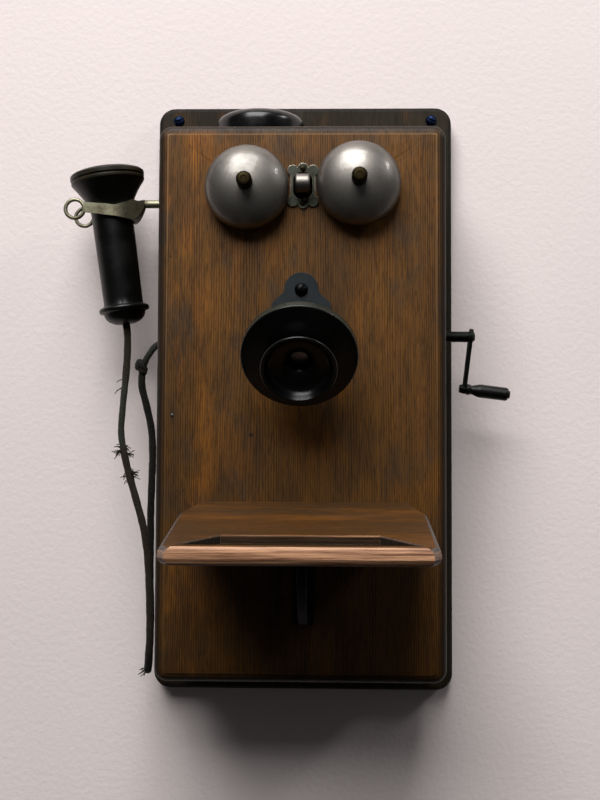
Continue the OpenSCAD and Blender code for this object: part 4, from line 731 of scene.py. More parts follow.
# x, depth in front of the wall and z of the points that the cord passes, in millimetres.
CORD_ROUTE = (
    (-166, 66, 38), (-167, 68, 15), (-169, 70, -12), (-170, 72, -36), (-167, 74, -54),
    (-162, 76, -74), (-154, 78, -100), (-147, 80, -124), (-143, 80, -148), (-141, 80, -175),
    (-140, 80, -202), (-140, 79, -228), (-142, 74, -248), (-144, 62, -259), (-145, 49, -252),
    (-145, 44, -232), (-145, 42, -205), (-146, 42, -175), (-146, 42, -145), (-146, 42, -115),
    (-145, 44, -85), (-144, 47, -58), (-145, 50, -34), (-149, 55, -12), (-153, 60, 8),
    (-151, 63, 26), (-144, 65, 39),
)
LEAN = math.radians(8)
RECEIVER = Vector((-182.8, -65, 173))
TAIL = RECEIVER + 108.5 * Vector((math.sin(LEAN), 0, -math.cos(LEAN)))
CORD_END = Vector((-127, -65, 46))
CORD_LEAD = 10


def cord_line(steps):
    """The cord's centre line in metres: a smooth curve through its route, as in the CAD source."""
    out = TAIL + CORD_LEAD * Vector((math.sin(LEAN), 0, -math.cos(LEAN)))
    route = [Vector((x, -depth, z)) for x, depth, z in CORD_ROUTE]
    points = [TAIL, out, *route, CORD_END - Vector((CORD_LEAD, 0, 0)), CORD_END]
    chain = [2 * points[0] - points[1], *points, 2 * points[-1] - points[-2]]
    line = []
    for p0, p1, p2, p3 in zip(chain, chain[1:], chain[2:], chain[3:]):
        for k in range(steps):
            t = k / steps
            bend = t * t * (2 * p0 - 5 * p1 + 4 * p2 - p3) + t**3 * (3 * p1 - 3 * p2 + p3 - p0)
            line.append(0.5 * (2 * p1 + t * (p2 - p0) + bend))
    line.append(CORD_END)
    return [p * MM for p in line]


def braid(name, total):
    """Cotton braid over rubber-covered wires: crossed threads, brown where whole, grey-green where worn."""
    # Share of the cord's length, and the braid's colour there.
    stations = (
        (0.0, "#2a1e12"), (0.07, "#251a10"), (0.09, "#2b2f28"), (0.165, "#242a24"), (0.18, "#20150e"),
        (0.40, "#1e150d"), (0.49, "#11100c"), (0.90, "#0b0c09"), (0.95, "#0b0c09"), (0.965, "#2a2d28"),
    )

    def woven(tree, place, shares):
        uv = add(tree, "ShaderNodeUVMap", uv_map="along")
        parts = add(tree, "ShaderNodeSeparateXYZ", {0: uv}, out=None)
        turns = add(tree, "ShaderNodeMath", {0: parts["Y"], 1: sizes().braid_pitch}, operation="DIVIDE")
        weave = -1.0
        for way in (2.0, -2.0):
            slant = add(tree, "ShaderNodeMath", {0: turns, 1: way}, operation="MULTIPLY")
            phase = add(tree, "ShaderNodeMath", {0: parts["X"], 1: 6.0, 2: slant}, operation="MULTIPLY_ADD")
            angle = add(tree, "ShaderNodeMath", {0: phase, 1: 2 * math.pi}, operation="MULTIPLY")
            thread = add(tree, "ShaderNodeMath", {0: angle}, operation="SINE")
            weave = add(tree, "ShaderNodeMath", {0: thread, 1: weave}, operation="MAXIMUM")
        share = add(tree, "ShaderNodeMath", {0: parts["Y"], 1: total}, operation="DIVIDE")
        ramp = add(
            tree, "ShaderNodeValToRGB", {0: share}, stops=[(place, linear(code)) for place, code in stations]
        )
        return {
            "weave": add(tree, "ShaderNodeMapRange", {0: weave, 1: -0.4, 2: 0.9}),
            "gaps": add(tree, "ShaderNodeMapRange", {0: weave, 1: 0.6, 2: -0.4}),
            "stations": ramp,
        }

    material = finish(
        name,
        "#33261b",
        {"fuzz": (cube(1.1), 3, 0.5, 0.75), "cloud": (cube(16), 4, 0.35, 0.75)},
        [("gaps", 0.6, "#0c0a08"), ("cloud", 0.5, "#12100c"), ("fuzz", 0.3, "#5f503c")],
        (0.8, ("fuzz", 0.1)),
        (0.4, ("weave", 1.0), ("fuzz", 0.5)),
        woven,
        Specular_IOR_Level=0.2,
        Sheen_Weight=0.04,
    )
    # The colour under the gaps between the threads comes from the stations.
    tree = material.node_tree
    ramp = next(node for node in tree.nodes if node.bl_idname == "ShaderNodeValToRGB")
    first = next(node for node in tree.nodes if node.bl_idname == "ShaderNodeMix")
    tree.links.new(ramp.outputs[0], first.inputs[6])
    return material


class TELEPHONE_OT_cord(bpy.types.Operator):
    """Makes the receiver's cord with its knot, its worn stretches and its loose threads"""

    bl_idname = "telephone.cord"
    bl_label = "Cord"

    # Where threads stand off along the cord, how many, how far they reach, with both lengths in
    # millimetres, and the way they point across the picture and up.
    TUFTS = (
        (57, 3, 11, (-1.0, 0.3)),
        (117, 14, 9, (-0.9, -0.3)),
        (120, 12, 7, (1.0, 0.3)),
        (142, 16, 9, (1.0, -0.4)),
        (144, 7, 5, (-1.0, -0.5)),
        (334, 10, 8, (-1.0, -0.2)),
    )
    # Where the braid is worn thin, along the cord and before its end, in metres, and how thick it is there
    # and elsewhere, as shares of the cord's diameter.
    WORN_STRETCH = (0.056, 0.117)
    WORN_END = 0.036
    WORN_SHARE = 0.98
    WHOLE_SHARE = 1.1

    def execute(self, context):
        width = sizes().cord_width
        line = cord_line(8)
        run = [0.0]
        for a, b in zip(line, line[1:]):
            run.append(run[-1] + (b - a).length)
        total = run[-1]
        material = braid("worn cotton braid", total)

        def radius(run):
            worn = self.WORN_STRETCH[0] < run < self.WORN_STRETCH[1] or run > total - self.WORN_END
            uneven = 1 + 0.03 * math.sin(run * 310) + 0.02 * math.sin(run * 811)
            return width / 2 * (self.WORN_SHARE if worn else self.WHOLE_SHARE) * uneven

        cord = tube("receiver_cord_braid", line, radius, material, 20)
        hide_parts("receiver_cord")
        knot = self.knot(line, run, material)
        frays = self.frays(line, run, material)
        # Only the stretch just under the receiver is higher than the cord's other end at the bushing.
        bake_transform(cord)
        for piece in (knot, frays):
            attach(piece, "cabinet")
        return {"FINISHED"}

    def knot(self, line, run, material):
        """An overhand knot: the cord goes round itself twice, a little off its own line."""
        centre = Vector((-0.1545, -0.062, 0.0245))
        near = min(range(len(line)), key=lambda i: (line[i] - centre).length)
        ahead = (line[near + 1] - line[near - 1]).normalized()
        side = ahead.cross(Vector((0, 1, 0))).normalized()
        front = side.cross(ahead)
        middle = line[near].lerp(centre, 0.6)
        r = sizes().knot_radius
        rounds, steps = 2.1, 60
        points = []
        for k in range(steps + 1):
            t = k / steps
            turn = 2 * math.pi * rounds * t
            out = r * (0.5 + 0.08 * math.sin(2.3 * turn))
            slant = r * 0.35 * math.cos(turn)
            along = (t - 0.5) * r * 0.9 + slant
            points.append(middle + ahead * along + out * (math.cos(turn) * side + math.sin(turn) * front))
        return tube("cord_knot", points, lambda turned: r * 0.46, material, 14, run[near] - 0.05)

    def frays(self, line, run, material):
        """Broken threads that stand off the worn braid."""
        draw = random.Random(7)
        parts, thread_radius = 7, 0.4 * MM
        pieces = []
        for place, count, reach, (across, up) in self.TUFTS:
            i = min(range(len(run)), key=lambda k: abs(run[k] - place * MM))
            ahead = (line[i + 1] - line[i]).normalized()
            for _ in range(count):
                way = Vector((across, draw.uniform(-0.8, 0.5), up + draw.uniform(-0.9, 0.9))).normalized()
                bend = Vector((draw.uniform(-1, 1), draw.uniform(-1, 1), draw.uniform(-1.4, 0.4)))
                size = reach * MM * draw.uniform(0.35, 1.0)
                off = (way - ahead * way.dot(ahead)).normalized() * sizes().cord_width * 0.4
                start = line[i] + off + ahead * draw.uniform(-5, 5) * MM
                points = []
                for k in range(parts + 1):
                    curl = bend * size * 0.35 * (k / parts) ** 2
                    points.append(start + way * size * k / parts + curl)
                pieces.append(tube("thread", points, lambda length: thread_radius, material, 5, run[i]))
        return joined("cord_loose_threads", pieces)


# The wooden case

# Depth of the door's face in front of the wall, in millimetres.
DOOR_FRONT = 130.2
# The shelf's slope, and the middle of its upper edge against the door.
SHELF_SLOPE = math.radians(7.6)
SHELF_PLACE = Vector((3, -DOOR_FRONT, -97.3)) * MM


def door_marks(tree, place, shares):
    """The door's painted shade towards its foot and its edges, its painted highlight line along the edge,
    the wear down its left side, a knot and a dent.
    """
    made = border("door_panel", (3.5, 9.5), 8.8)(tree, place, shares)
    parts = add(tree, "ShaderNodeSeparateXYZ", {0: place}, out=None)
    # Painted shade towards the foot begins at z = 120 mm and is full at z = -160 mm.
    made["foot"] = add(tree, "ShaderNodeMapRange", {0: parts["Z"], 1: 120 * MM, 2: -160 * MM})
    # The varnish is worn most at the left edge, and a fifth as much from x = -50 mm on.
    brushed = add(tree, "ShaderNodeMapRange", {0: parts["X"], 1: -125 * MM, 2: -50 * MM, 3: 1.0, 4: 0.2})
    made["orange"] = add(tree, "ShaderNodeMath", {0: shares["orange"], 1: brushed}, operation="MULTIPLY")
    marks = 0.0
    # The knot and the dent: x, z and radius in millimetres.
    for x, z, size in ((-44.1, -38.5, 2.6), (-117, 120.6, 1.3)):
        spot = (x * MM, -DOOR_FRONT * MM, z * MM)
        far = add(tree, "ShaderNodeVectorMath", {0: place, 1: spot}, out="Value", operation="DISTANCE")
        mark = add(tree, "ShaderNodeMapRange", {0: far, 1: size * MM, 2: size * MM * 0.5})
        marks = add(tree, "ShaderNodeMath", {0: mark, 1: marks}, operation="MAXIMUM")
    made["marks"] = marks
    return made


def shelf_faces(tree, place, shares):
    """The shelf's nose, the painted highlight on its side bevels, the painted shade on its underside and the
    painted shade in its trough, told apart by how their faces lie.
    """
    lie = add(tree, "ShaderNodeSeparateXYZ", {0: add(tree, "ShaderNodeTexCoord", out="Normal")}, out=None)
    sideways = add(tree, "ShaderNodeMath", {0: lie["X"]}, operation="ABSOLUTE")
    up = Vector((0, -math.sin(SHELF_SLOPE), math.cos(SHELF_SLOPE)))
    out = Vector((0, -math.cos(SHELF_SLOPE), -math.sin(SHELF_SLOPE)))
    made = {
        "nose": add(tree, "ShaderNodeMapRange", {0: lie["Y"], 1: -0.5, 2: -0.65}),
        # Painted bluish-grey highlight on the faces that lean sideways.
        "bevel": add(tree, "ShaderNodeMapRange", {0: sideways, 1: 0.25, 2: 0.45}),
        # Painted shade on the faces that point down.
        "under": add(tree, "ShaderNodeMapRange", {0: lie["Z"], 1: -0.2, 2: -0.5}),
    }
    made["streaks"] = add(
        tree, "ShaderNodeMath", {0: made["nose"], 1: shares["fibres"]}, operation="MULTIPLY"
    )
    level = add(tree, "ShaderNodeVectorMath", {0: place, 1: up}, out="Value", operation="DOT_PRODUCT")
    reach = add(tree, "ShaderNodeVectorMath", {0: place, 1: out}, out="Value", operation="DOT_PRODUCT")
    top, door = SHELF_PLACE.dot(up), SHELF_PLACE.dot(out)
    # Near-black painted shade fills the trough.
    trough = 1.0
    # Limits of the painted shade in the trough, below the shelf's top and out from the door: value, outside,
    # inside.
    for value, outside, inside in (
        (level, top - 0.6 * MM, top - 1.6 * MM),
        (level, top - 9 * MM, top - 8.4 * MM),
        (reach, door + 162.0 * MM, door + 161.5 * MM),
        (reach, door + 126.5 * MM, door + 127.5 * MM),
    ):
        limit = add(tree, "ShaderNodeMapRange", {0: value, 1: outside, 2: inside})
        trough = add(tree, "ShaderNodeMath", {0: limit, 1: trough}, operation="MULTIPLY")
    clear = add(tree, "ShaderNodeMapRange", {0: sideways, 1: 0.85, 2: 0.75})
    made["trough"] = add(tree, "ShaderNodeMath", {0: trough, 1: clear}, operation="MULTIPLY")
    return made


class TELEPHONE_OT_woodwork(bpy.types.Operator):
    """Dresses the backboard, the case, the door and the writing shelf in oak"""

    bl_idname = "telephone.woodwork"
    bl_label = "Woodwork"

    def execute(self, context):
        c = colours()
        line, worn = c.oak_line, c.oak_worn
        # Painted shade darkens the door and the backboard towards their edges.
        grime = ("grime", 0.9, c.grime)
        # Satin varnish: brown between near-black pores, orange where hands have thinned it.
        door = oak(
            "varnished oak of the door", "Z", (1, 0.35, 0), c.oak, line, worn, orange=0.8,
            more=door_marks,
            # Painted shade towards the foot and the edges, and a painted highlight line along the edge.
            layers=[("foot", 0.42, line), grime, ("arris", 0.35, "#a9835a"), ("marks", 0.75, c.grime)],
        )
        # Hardly any varnish left: dull grey-brown, with little figure.
        board = oak(
            "weathered oak of the backboard", "Z", (1, 0.35, 0), c.board_oak, "#1a1409", worn,
            # Painted shade darkens the backboard towards its edges.
            orange=0.15, roughness=0.6, more=border("backboard", (1.5, 7), 12), layers=[grime],
        )
        # Darkened on top, with a pale worn nose, a painted bluish-grey highlight on the side bevels, painted
        # shade on the underside and near-black painted shade in the trough.
        shelf = oak(
            "varnished oak of the shelf", "X", (0, 0.85, 0.6), c.shelf_oak, "#2f2010", worn,
            orange=0.25, stain=0.25, roughness=0.36, more=shelf_faces,
            layers=[
                ("nose", 0.95, "#cc9a76"), ("streaks", 0.85, "#522e1e"), ("bevel", 0.6, "#4a4c4e"),
                ("under", 0.8, "#3a220e"), ("trough", 0.92, "#0c0b06"),
            ],
        )
        # Pale wood on the rounded edges: partly worn by sleeves, partly a painted highlight.
        rubbed = oak("worn edge of the shelf with a painted highlight", "X", (0, 0.85, 0.6), "#b98c5a", "#5e4122", worn)
        dress("door_panel", "door_oak", door)
        dress("backboard", "backboard_oak", board)
        dress("writing_shelf", "writing_shelf_oak", shelf, angle=28, edge=0.55, rubbed=rubbed)
        # The same varnish, darker and less worn than on the door.
        for name, grain, across, nodes in (
            ("sides", "Z", (0.35, 1, 0), ("left_side", "right_side")),
            ("ends", "X", (0, 1, 0.35), ("top_board", "bottom_board")),
        ):
            name = "varnished oak of the case's " + name
            material = oak(name, grain, across, c.case_oak, "#2b1d0f", worn, orange=0.2)
            for node in nodes:
                dress(node, node + "_oak", material, edge=0.5)
        # Never varnished: paler and matt.
        inside = oak("bare oak inside the case", "X", (0, 1, 0.35), "#8a6a45", line, worn, roughness=0.6)
        for node in ("generator_shelf", "coil_base"):
            paint(node, inside)
        # Blued steel: a dark blue heat colour on the round heads.
        steel = metal("blued steel of the wall screws", "#18233c", "#0c0e13", 0.4)
        turns = ((-1, 1, 20), (1, 1, -35), (-1, -1, 80), (1, -1, 5))
        # In the backboard's corners, on its face 20 mm in front of the wall.
        places = [(sx * 125, 20, sz * 272, turn) for sx, sz, turn in turns]
        screws("wall_screws", "cabinet", places, sizes().wall_screw, steel, height=0.3)
        # Ground steel: a small light point in the wood.
        nail = metal("bright steel of the nail", "#606366", "#3a3b3c", 0.4)
        screws("door_nail", "door", [(-114.3, DOOR_FRONT, -21.1, 0)], sizes().nail_head, nail, 0.3, 0.02)
        return {"FINISHED"}


# The gongs and the hammer


def dome_points(radius, height, skirt, steps):
    """Half profile of a gong: an ellipse above a short straight skirt."""
    return [
        (radius * math.cos(a), skirt + (height - skirt) * math.sin(a))
        for a in (math.radians(90) * i / steps for i in range(steps + 1))
    ]


def front_face_highlight(tree, place, shares):
    """What of a piece faces forward, where a highlight is painted."""
    lie = add(tree, "ShaderNodeSeparateXYZ", {0: add(tree, "ShaderNodeTexCoord", out="Normal")}, out=None)
    return {"front": add(tree, "ShaderNodeMapRange", {0: lie["Y"], 1: -0.85, 2: -0.97})}


def spun_rings(tree, place, shares):
    """Fine rings round a gong's axis, left by spinning and polishing it."""
    uv = add(tree, "ShaderNodeUVMap", uv_map="turned")
    spread = add(tree, "ShaderNodeMapping", {"Vector": uv, "Scale": (6, 900, 1)})
    noise = add(tree, "ShaderNodeTexNoise", {"Vector": spread, "Scale": 1.0, "Detail": 3.0})
    return {"rings": add(tree, "ShaderNodeMapRange", {0: noise, 1: 0.3, 2: 0.7})}


class TELEPHONE_OT_gongs(bpy.types.Operator):
    """Makes the two gongs, their nuts, the hammer and its plate"""

    bl_idname = "telephone.gongs"
    bl_label = "Gongs"

    def execute(self, context):
        c = colours()
        # Nickel-plated bell metal, spun: fine rings round the axis, cloudy grey tarnish, a soft polish.
        bell = finish(
            "spun bell metal",
            c.nickel,
            {"cloud": (cube(24), 5, 0.36, 0.72), "speck": (cube(2), 3, 0.58, 0.72)},
            [("cloud", 0.65, c.tarnish), ("speck", 0.25, "#3a3934"), ("rings", 0.25, c.tarnish)],
            (0.37, ("cloud", 0.14), ("rings", 0.05)),
            (0.008, ("rings", 1.0), ("cloud", 0.5)),
            spun_rings,
            Metallic=0.92,
            Coat_Weight=0.3,
            Coat_Roughness=0.08,
        )
        # Brass that has gone dark brown, with a painted highlight on its front face.
        brass = metal(
            "aged brass of the gong nuts", "#1f190d", "#0e0b07", 0.42, 0.8,
            more=front_face_highlight, layers=[("front", 0.6, "#332b1a")],
        )
        for side in ("left", "right"):
            self.nut(side, self.bell("gong_" + side, bell), brass)
        # Nickel plate, dulled by grey clouds and bright where the gongs have polished it.
        self.hammer(metal("worn nickel plate of the hammer", c.nickel, c.tarnish, 0.3))
        # Greenish grey tarnish over the plate's face, and a thin pale line along its scallops, partly wear
        # and partly a painted highlight.
        plate = metal("tarnished nickel of the hammer's plate", "#4b4c43", "#23241e", 0.38, 0.7)
        bright = metal("worn edge of the hammer's plate with a painted highlight", "#c2bcab", "#7b776a", 0.3, 0.5)
        dress("hammer_plate", "hammer_plate_nickel", plate, edge=0.7, rubbed=bright)
        # Brass browned almost to black.
        dark = metal("dark brass of the plate's screws", "#3a3426", "#15130f", 0.4)
        lo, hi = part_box("hammer_plate")
        x, z, depth = (lo.x + hi.x) / 2 / MM, (lo.z + hi.z) / 2 / MM, -lo.y / MM
        # The screws sit this far above and below the middle of the plate.
        reach = 15.5
        places = [(x, depth, z + reach, 30), (x, depth, z - reach, -50)]
        screws("plate_screws", "door", places, sizes().plate_screw, dark)
        paint("gong_posts", brass)
        return {"FINISHED"}

    def bell(self, node, material):
        """A spun dome with a thin rim and a hole for its post; gives back x, depth and z of its crown."""
        lo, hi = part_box(node)
        x, z = (lo.x + hi.x) / 2 / MM, (lo.z + hi.z) / 2 / MM
        radius, back, front = (hi.x - lo.x) / 2 / MM, -hi.y / MM, -lo.y / MM
        height, wall, hole, skirt, steps = front - back, 1.8, 3.05, 4, 40
        outer = [p for p in dome_points(radius, height, skirt, steps) if p[0] > hole]
        inner = [p for p in dome_points(radius - wall, height - wall, skirt, steps) if p[0] > hole]
        rim = [(radius - wall, 0.5), (radius - wall * 0.6, 0), (radius - wall * 0.3, 0), (radius, 0.4)]
        profile = [*rim, *outer, (hole, height), (hole, height - wall), *inner[::-1]]
        piece = lathe(node + "_bell", profile, facing(x, back, z), material, 128)
        settle(piece, "door", node)
        return x, front, z

    def nut(self, side, crown, brass):
        """A round nut with a narrower flank between two collars and a plain front."""
        profile = [
            (0, 0), (6.5, 0), (6.75, 0.4), (6.75, 2.2), (6.3, 2.6), (6.3, 3.0), (6.3, 10.2), (6.3, 10.6),
            (6.75, 11.0), (6.75, 13.0), (6.1, 14.2), (4.75, 15), (2.6, 15), (2.2, 14.7), (0, 14.7),
        ]
        piece = lathe(f"nut_{side}_brass", profile, facing(*crown), brass, 168)
        # Both nuts are one node of the CAD, so one of them stands for it.
        settle(piece, "door", "gong_nuts" if side == "left" else None)

    def hammer(self, nickel):
        """A short round head across the rod, its edges well rounded by wear."""
        lo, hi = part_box("hammer")
        radius, width, edge = (hi.z - lo.z) / 2 / MM, (hi.x - lo.x) / MM, 2.0
        turns = [math.radians(15 * i) for i in range(7)]
        profile = [(0, 0)]
        profile += [(radius - edge + edge * math.sin(a), edge - edge * math.cos(a)) for a in turns]
        profile += [(radius - edge + edge * math.cos(a), width - edge + edge * math.sin(a)) for a in turns]
        profile += [(0, width)]
        axis = Matrix.Translation((lo.x, (lo.y + hi.y) / 2, (lo.z + hi.z) / 2))
        piece = lathe("hammer_nickel", profile, axis @ Matrix.Rotation(math.radians(90), 4, "Y"), nickel, 64)
        settle(piece, "clapper", "hammer")
        dress("clapper_rod", "clapper_rod_nickel", nickel)


# The transmitter

# How far the transmitter faces down, in degrees, and the distance from its bolt to its face, in millimetres.
FACE_DROP = 35
FACE_REACH = 37
TILT = (
    Matrix.Translation(PIVOTS["transmitter_tilt"])
    @ Matrix.Rotation(math.radians(90 + FACE_DROP), 4, "X")
    @ Matrix.Translation((0, 0, FACE_REACH * MM))
)
# The face's radius, how far its middle stands out, and the radius of its hole, in millimetres.
FACE_RADIUS = 49.5
FACE_SWELL = 5
FACE_HOLE = 13


def rim_wear_and_highlight(tree, place, shares):
    """The rolled rim of the face: its enamel rubbed thin, with a painted highlight."""
    uv = add(tree, "ShaderNodeUVMap", uv_map="turned")
    run = add(tree, "ShaderNodeSeparateXYZ", {0: uv}, out="Y")
    # The rim ends 9 to 10 mm along the turned profile.
    rim = add(tree, "ShaderNodeMapRange", {0: run, 1: 10.2 * MM, 2: 9.0 * MM})
    patchy = add(tree, "ShaderNodeMapRange", {0: shares["cloud"], 3: 1.0, 4: 0.6})
    return {"rim": add(tree, "ShaderNodeMath", {0: rim, 1: patchy}, operation="MULTIPLY")}


class TELEPHONE_OT_transmitter(bpy.types.Operator):
    """Makes the transmitter's face and mouthpiece, and dresses its case and bracket"""

    bl_idname = "telephone.transmitter"
    bl_label = "Transmitter"

    def execute(self, context):
        c = colours()
        # Deep black with soft lights, browner and duller where it has aged.
        enamel = coating("black stove enamel", c.enamel, "#0d0e0a", 0.2, 0.5)
        # The same black, thin and greenish grey round its rim: partly wear, partly a painted highlight.
        worn = coating(
            "black enamel with a worn rim and a painted highlight", c.enamel, "#0b0c09", 0.2, 0.4,
            more=rim_wear_and_highlight, layers=[("rim", 0.9, "#25261e")],
        )
        # Turned and polished: black, with a fine light on its lip and a crescent in its cup.
        rubber = coating("polished hard rubber of the mouthpiece", c.rubber, "#0b0b09", 0.22, 0.4)
        # Satin blue-black, rubbed through to grey iron along the edges, with a painted highlight there too.
        japan = coating("blue-black japanned iron", c.iron, "#1e2426", 0.45, 0.7, 0.03)
        bare = coating("japan rubbed thin on the bracket's edge", "#42473f", "#23282a", 0.4, 0.7)
        # Nickel plate under a grey bloom.
        nickel = metal("worn nickel of the tilt bolt", c.nickel, c.tarnish, 0.35)
        self.face(worn)
        self.mouth(rubber)
        dress("transmitter_case", "transmitter_case_enamel", enamel, edge=0.3)
        dress("transmitter_bracket", "transmitter_bracket_japan", japan, edge=1.0, rubbed=bare)
        dress("tilt_bolt", "tilt_bolt_nickel", nickel, edge=0.3)
        paint("transmitter_diaphragm", nickel)
        # Brass cup, yellow with brown stains.
        paint("carbon_button", metal("brass of the carbon button", c.brass, "#2b2418", 0.35))
        # Blackened steel, with one small light on its dome.
        dark = metal("dark steel of the bracket's screw", "#1c1d1e", "#0c0c0c", 0.3)
        depth = -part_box("transmitter_bracket")[1].y / MM + 4
        screws("bracket_screw", "door", [(0, depth, 90.5, 62)], sizes().bracket_screw, dark, 0.36, 0.1)
        return {"FINISHED"}

    def face(self, material):
        """A pressed cap with a rolled rim that swells a little towards the mouthpiece."""
        r, rim, wall, edge, steps = FACE_RADIUS, 7, 2.5, 1.5, 24
        outer_step = (r - edge - FACE_HOLE) / steps
        inner_step = (r - wall - FACE_HOLE) / steps
        outer = [r - edge - i * outer_step for i in range(steps + 1)]
        inner = [FACE_HOLE + i * inner_step for i in range(steps + 1)]
        turns = [math.radians(15 * i) for i in range(6)]
        profile = [(r - wall, -rim), (r, -rim)]
        profile += [(r - edge + edge * math.cos(a), -edge + 0.2 + edge * math.sin(a)) for a in turns]
        profile += [(x, FACE_SWELL * (1 - (x / r) ** 2)) for x in outer]
        profile += [(x, FACE_SWELL * (1 - (x / r) ** 2) - wall) for x in inner]
        piece = lathe("transmitter_face_enamel", profile, TILT, material, 160)
        settle(piece, "transmitter", "transmitter_face")

    def mouth(self, material):
        """A horn that widens into a cup with a thin rounded lip, screwed into the face."""
        mouth_r, top, throat_r, lip_r = 32, 21, 7.5, 1.6
        seat = FACE_SWELL * (1 - (FACE_HOLE / FACE_RADIUS) ** 2)
        # The lip turns from the slope of the outside over the top to the slope of the inside.
        turns = [math.radians(-28 + 12 * i) for i in range(16)]
        lip = [(mouth_r - lip_r + lip_r * math.cos(a), top - lip_r + lip_r * math.sin(a)) for a in turns]
        stem = [(FACE_HOLE - 0.05, seat - 6), (FACE_HOLE - 0.05, seat), (FACE_HOLE + 2, seat)]
        outer = [(15.4, 6), (16.4, 7.6), (18.5, 8.9), (22, 9.9), (25.6, 11.3), (27.5, 13.2), (29.5, 16)]
        inner = [(27.4, 17.1), (25.6, 14.1), (24, 12.8), (21, 11.6), (17.5, 10.6), (13.5, 9), (10.5, 6.9)]
        profile = [*stem, *outer, *lip, *inner, (8.5, 4.8), (throat_r, 2.5), (throat_r, seat - 6)]
        piece = lathe("mouthpiece_rubber", profile, TILT, material, 128)
        settle(piece, "transmitter", "mouthpiece")


# The receiver and its hook, the crank and the roof cover


class TELEPHONE_OT_receiver(bpy.types.Operator):
    """Dresses the receiver's shell and ear cap, and the hook that it hangs on"""

    bl_idname = "telephone.receiver"
    bl_label = "Receiver"

    def execute(self, context):
        c = colours()
        # Black with a long soft light down the shell.
        rubber = coating("polished hard rubber of the receiver", c.rubber, "#0e0f0c", 0.3, 0.4)
        # Rubber that light and hands have browned.
        cap = coating("aged hard rubber of the ear cap", "#12120c", "#332a18", 0.36, 0.7)
        dress("receiver_shell", "receiver_shell_rubber", rubber, angle=30)
        dress("receiver_ear_cap", "receiver_ear_cap_rubber", cap, angle=30, edge=0.3)
        # Grey forged steel, with darker scale.
        paint("receiver_magnet", metal("steel of the receiver's magnet", "#55585c", "#2c2e30", 0.4))
        # Nickel worn down to yellowish grey, with rust coming through in spots.
        hook = metal("tarnished nickel of the hook", "#8f8c76", "#4b4431", 0.42, 0.85)
        # Paler along the edges, where the receiver rubs.
        pale = metal("rubbed edge of the hook", "#b5b09a", "#7d765f", 0.35, 0.6)
        dress("hook_lever", "hook_lever_nickel", hook, angle=35, edge=0.4, rubbed=pale)
        return {"FINISHED"}


class TELEPHONE_OT_crank(bpy.types.Operator):
    """Dresses the crank, its grip and the bushings"""

    bl_idname = "telephone.crank"
    bl_label = "Crank"

    def execute(self, context):
        # Nearly black, with grey lines where the oxide is rubbed off the arm.
        black = metal("black oxidised steel of the crank", "#1c1e1b", "#0d0e0c", 0.38)
        edge = metal("rubbed edge of the crank's arm", "#4a4c47", "#1c1e1b", 0.38)
        # Black and satin from handling.
        rubber = coating("hard rubber of the grip", colours().rubber, "#141410", 0.3, 0.4)
        # Brass gone brown, with a dull yellow light.
        brass = metal("dark brass of the bushings", "#3a3222", "#1b1812", 0.45)
        dress("crank_arm", "crank_arm_steel", black, edge=0.4, rubbed=edge)
        dress("crank_shaft", "crank_shaft_steel", black, edge=0.4)
        dress("grip_pin", "grip_pin_steel", black, edge=0.3)
        dress("crank_grip", "crank_grip_rubber", rubber, angle=40)
        dress("crank_bushing", "crank_bushing_brass", brass, edge=0.5)
        dress("cord_bushing", "cord_bushing_rubber", rubber, edge=0.5)
        return {"FINISHED"}


class TELEPHONE_OT_roof(bpy.types.Operator):
    """Makes the round cover on the roof and glazes the base under it"""

    bl_idname = "telephone.roof"
    bl_label = "Roof cover"

    def execute(self, context):
        # The glossiest black here: a sharp light runs round its shoulder.
        name = "black enamel of the roof cover"
        enamel = coating(name, colours().enamel, "#0d0e0c", 0.16, 0.4, shine=0.35)
        lo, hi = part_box("terminal_cover")
        radius, height, wall = (hi.x - lo.x) / 2 / MM, (hi.z - lo.z) / MM, 3
        flank = height * 0.5

        def shoulder(r, top):
            """A curve from the flank to the top that is squarer than a quarter of an ellipse."""
            power = 2 / 3
            turns = [math.radians(3 * i) for i in range(30)]
            curve = [(r * math.cos(a) ** power, flank + (top - flank) * math.sin(a) ** power) for a in turns]
            return curve + [(0, top)]

        profile = shoulder(radius, height)[::-1] + [(radius, 0), (radius - wall, 0)]
        profile += shoulder(radius - wall, height - wall)
        place = Matrix.Translation(((lo.x + hi.x) / 2, (lo.y + hi.y) / 2, lo.z))
        piece = lathe("terminal_cover_enamel", profile, place, enamel, 128)
        settle(piece, "cabinet", "terminal_cover")
        # Cream white under a clear glaze.
        glaze = coating("glazed porcelain", "#ddd8c8", "#c2baa4", 0.12, 0.5, shine=0.5)
        paint("cover_base", glaze)
        return {"FINISHED"}


# The ironwork and the works


def winding(name, code, axis):
    """Fine covered wire in close turns, drawn 0.8 mm apart so that they show."""
    pitch = 0.8 * MM

    def turns(tree, place, shares):
        settings = {"Vector": place, "Scale": WAVE_BAND / pitch, "Distortion": 0.3}
        wave = add(tree, "ShaderNodeTexWave", settings, out="Fac", bands_direction=axis)
        return {"turns": wave, "gaps": add(tree, "ShaderNodeMapRange", {0: wave, 1: 0.6, 2: 0.0})}

    dark = darkened(code, 0.3)
    return finish(
        name,
        code,
        {"cloud": (cube(12), 3, 0.4, 0.7)},
        [("cloud", 0.4, dark), ("gaps", 0.8, dark)],
        (0.55, ("cloud", 0.1)),
        (0.25, ("turns", 1.0)),
        turns,
        Sheen_Weight=0.2,
    )


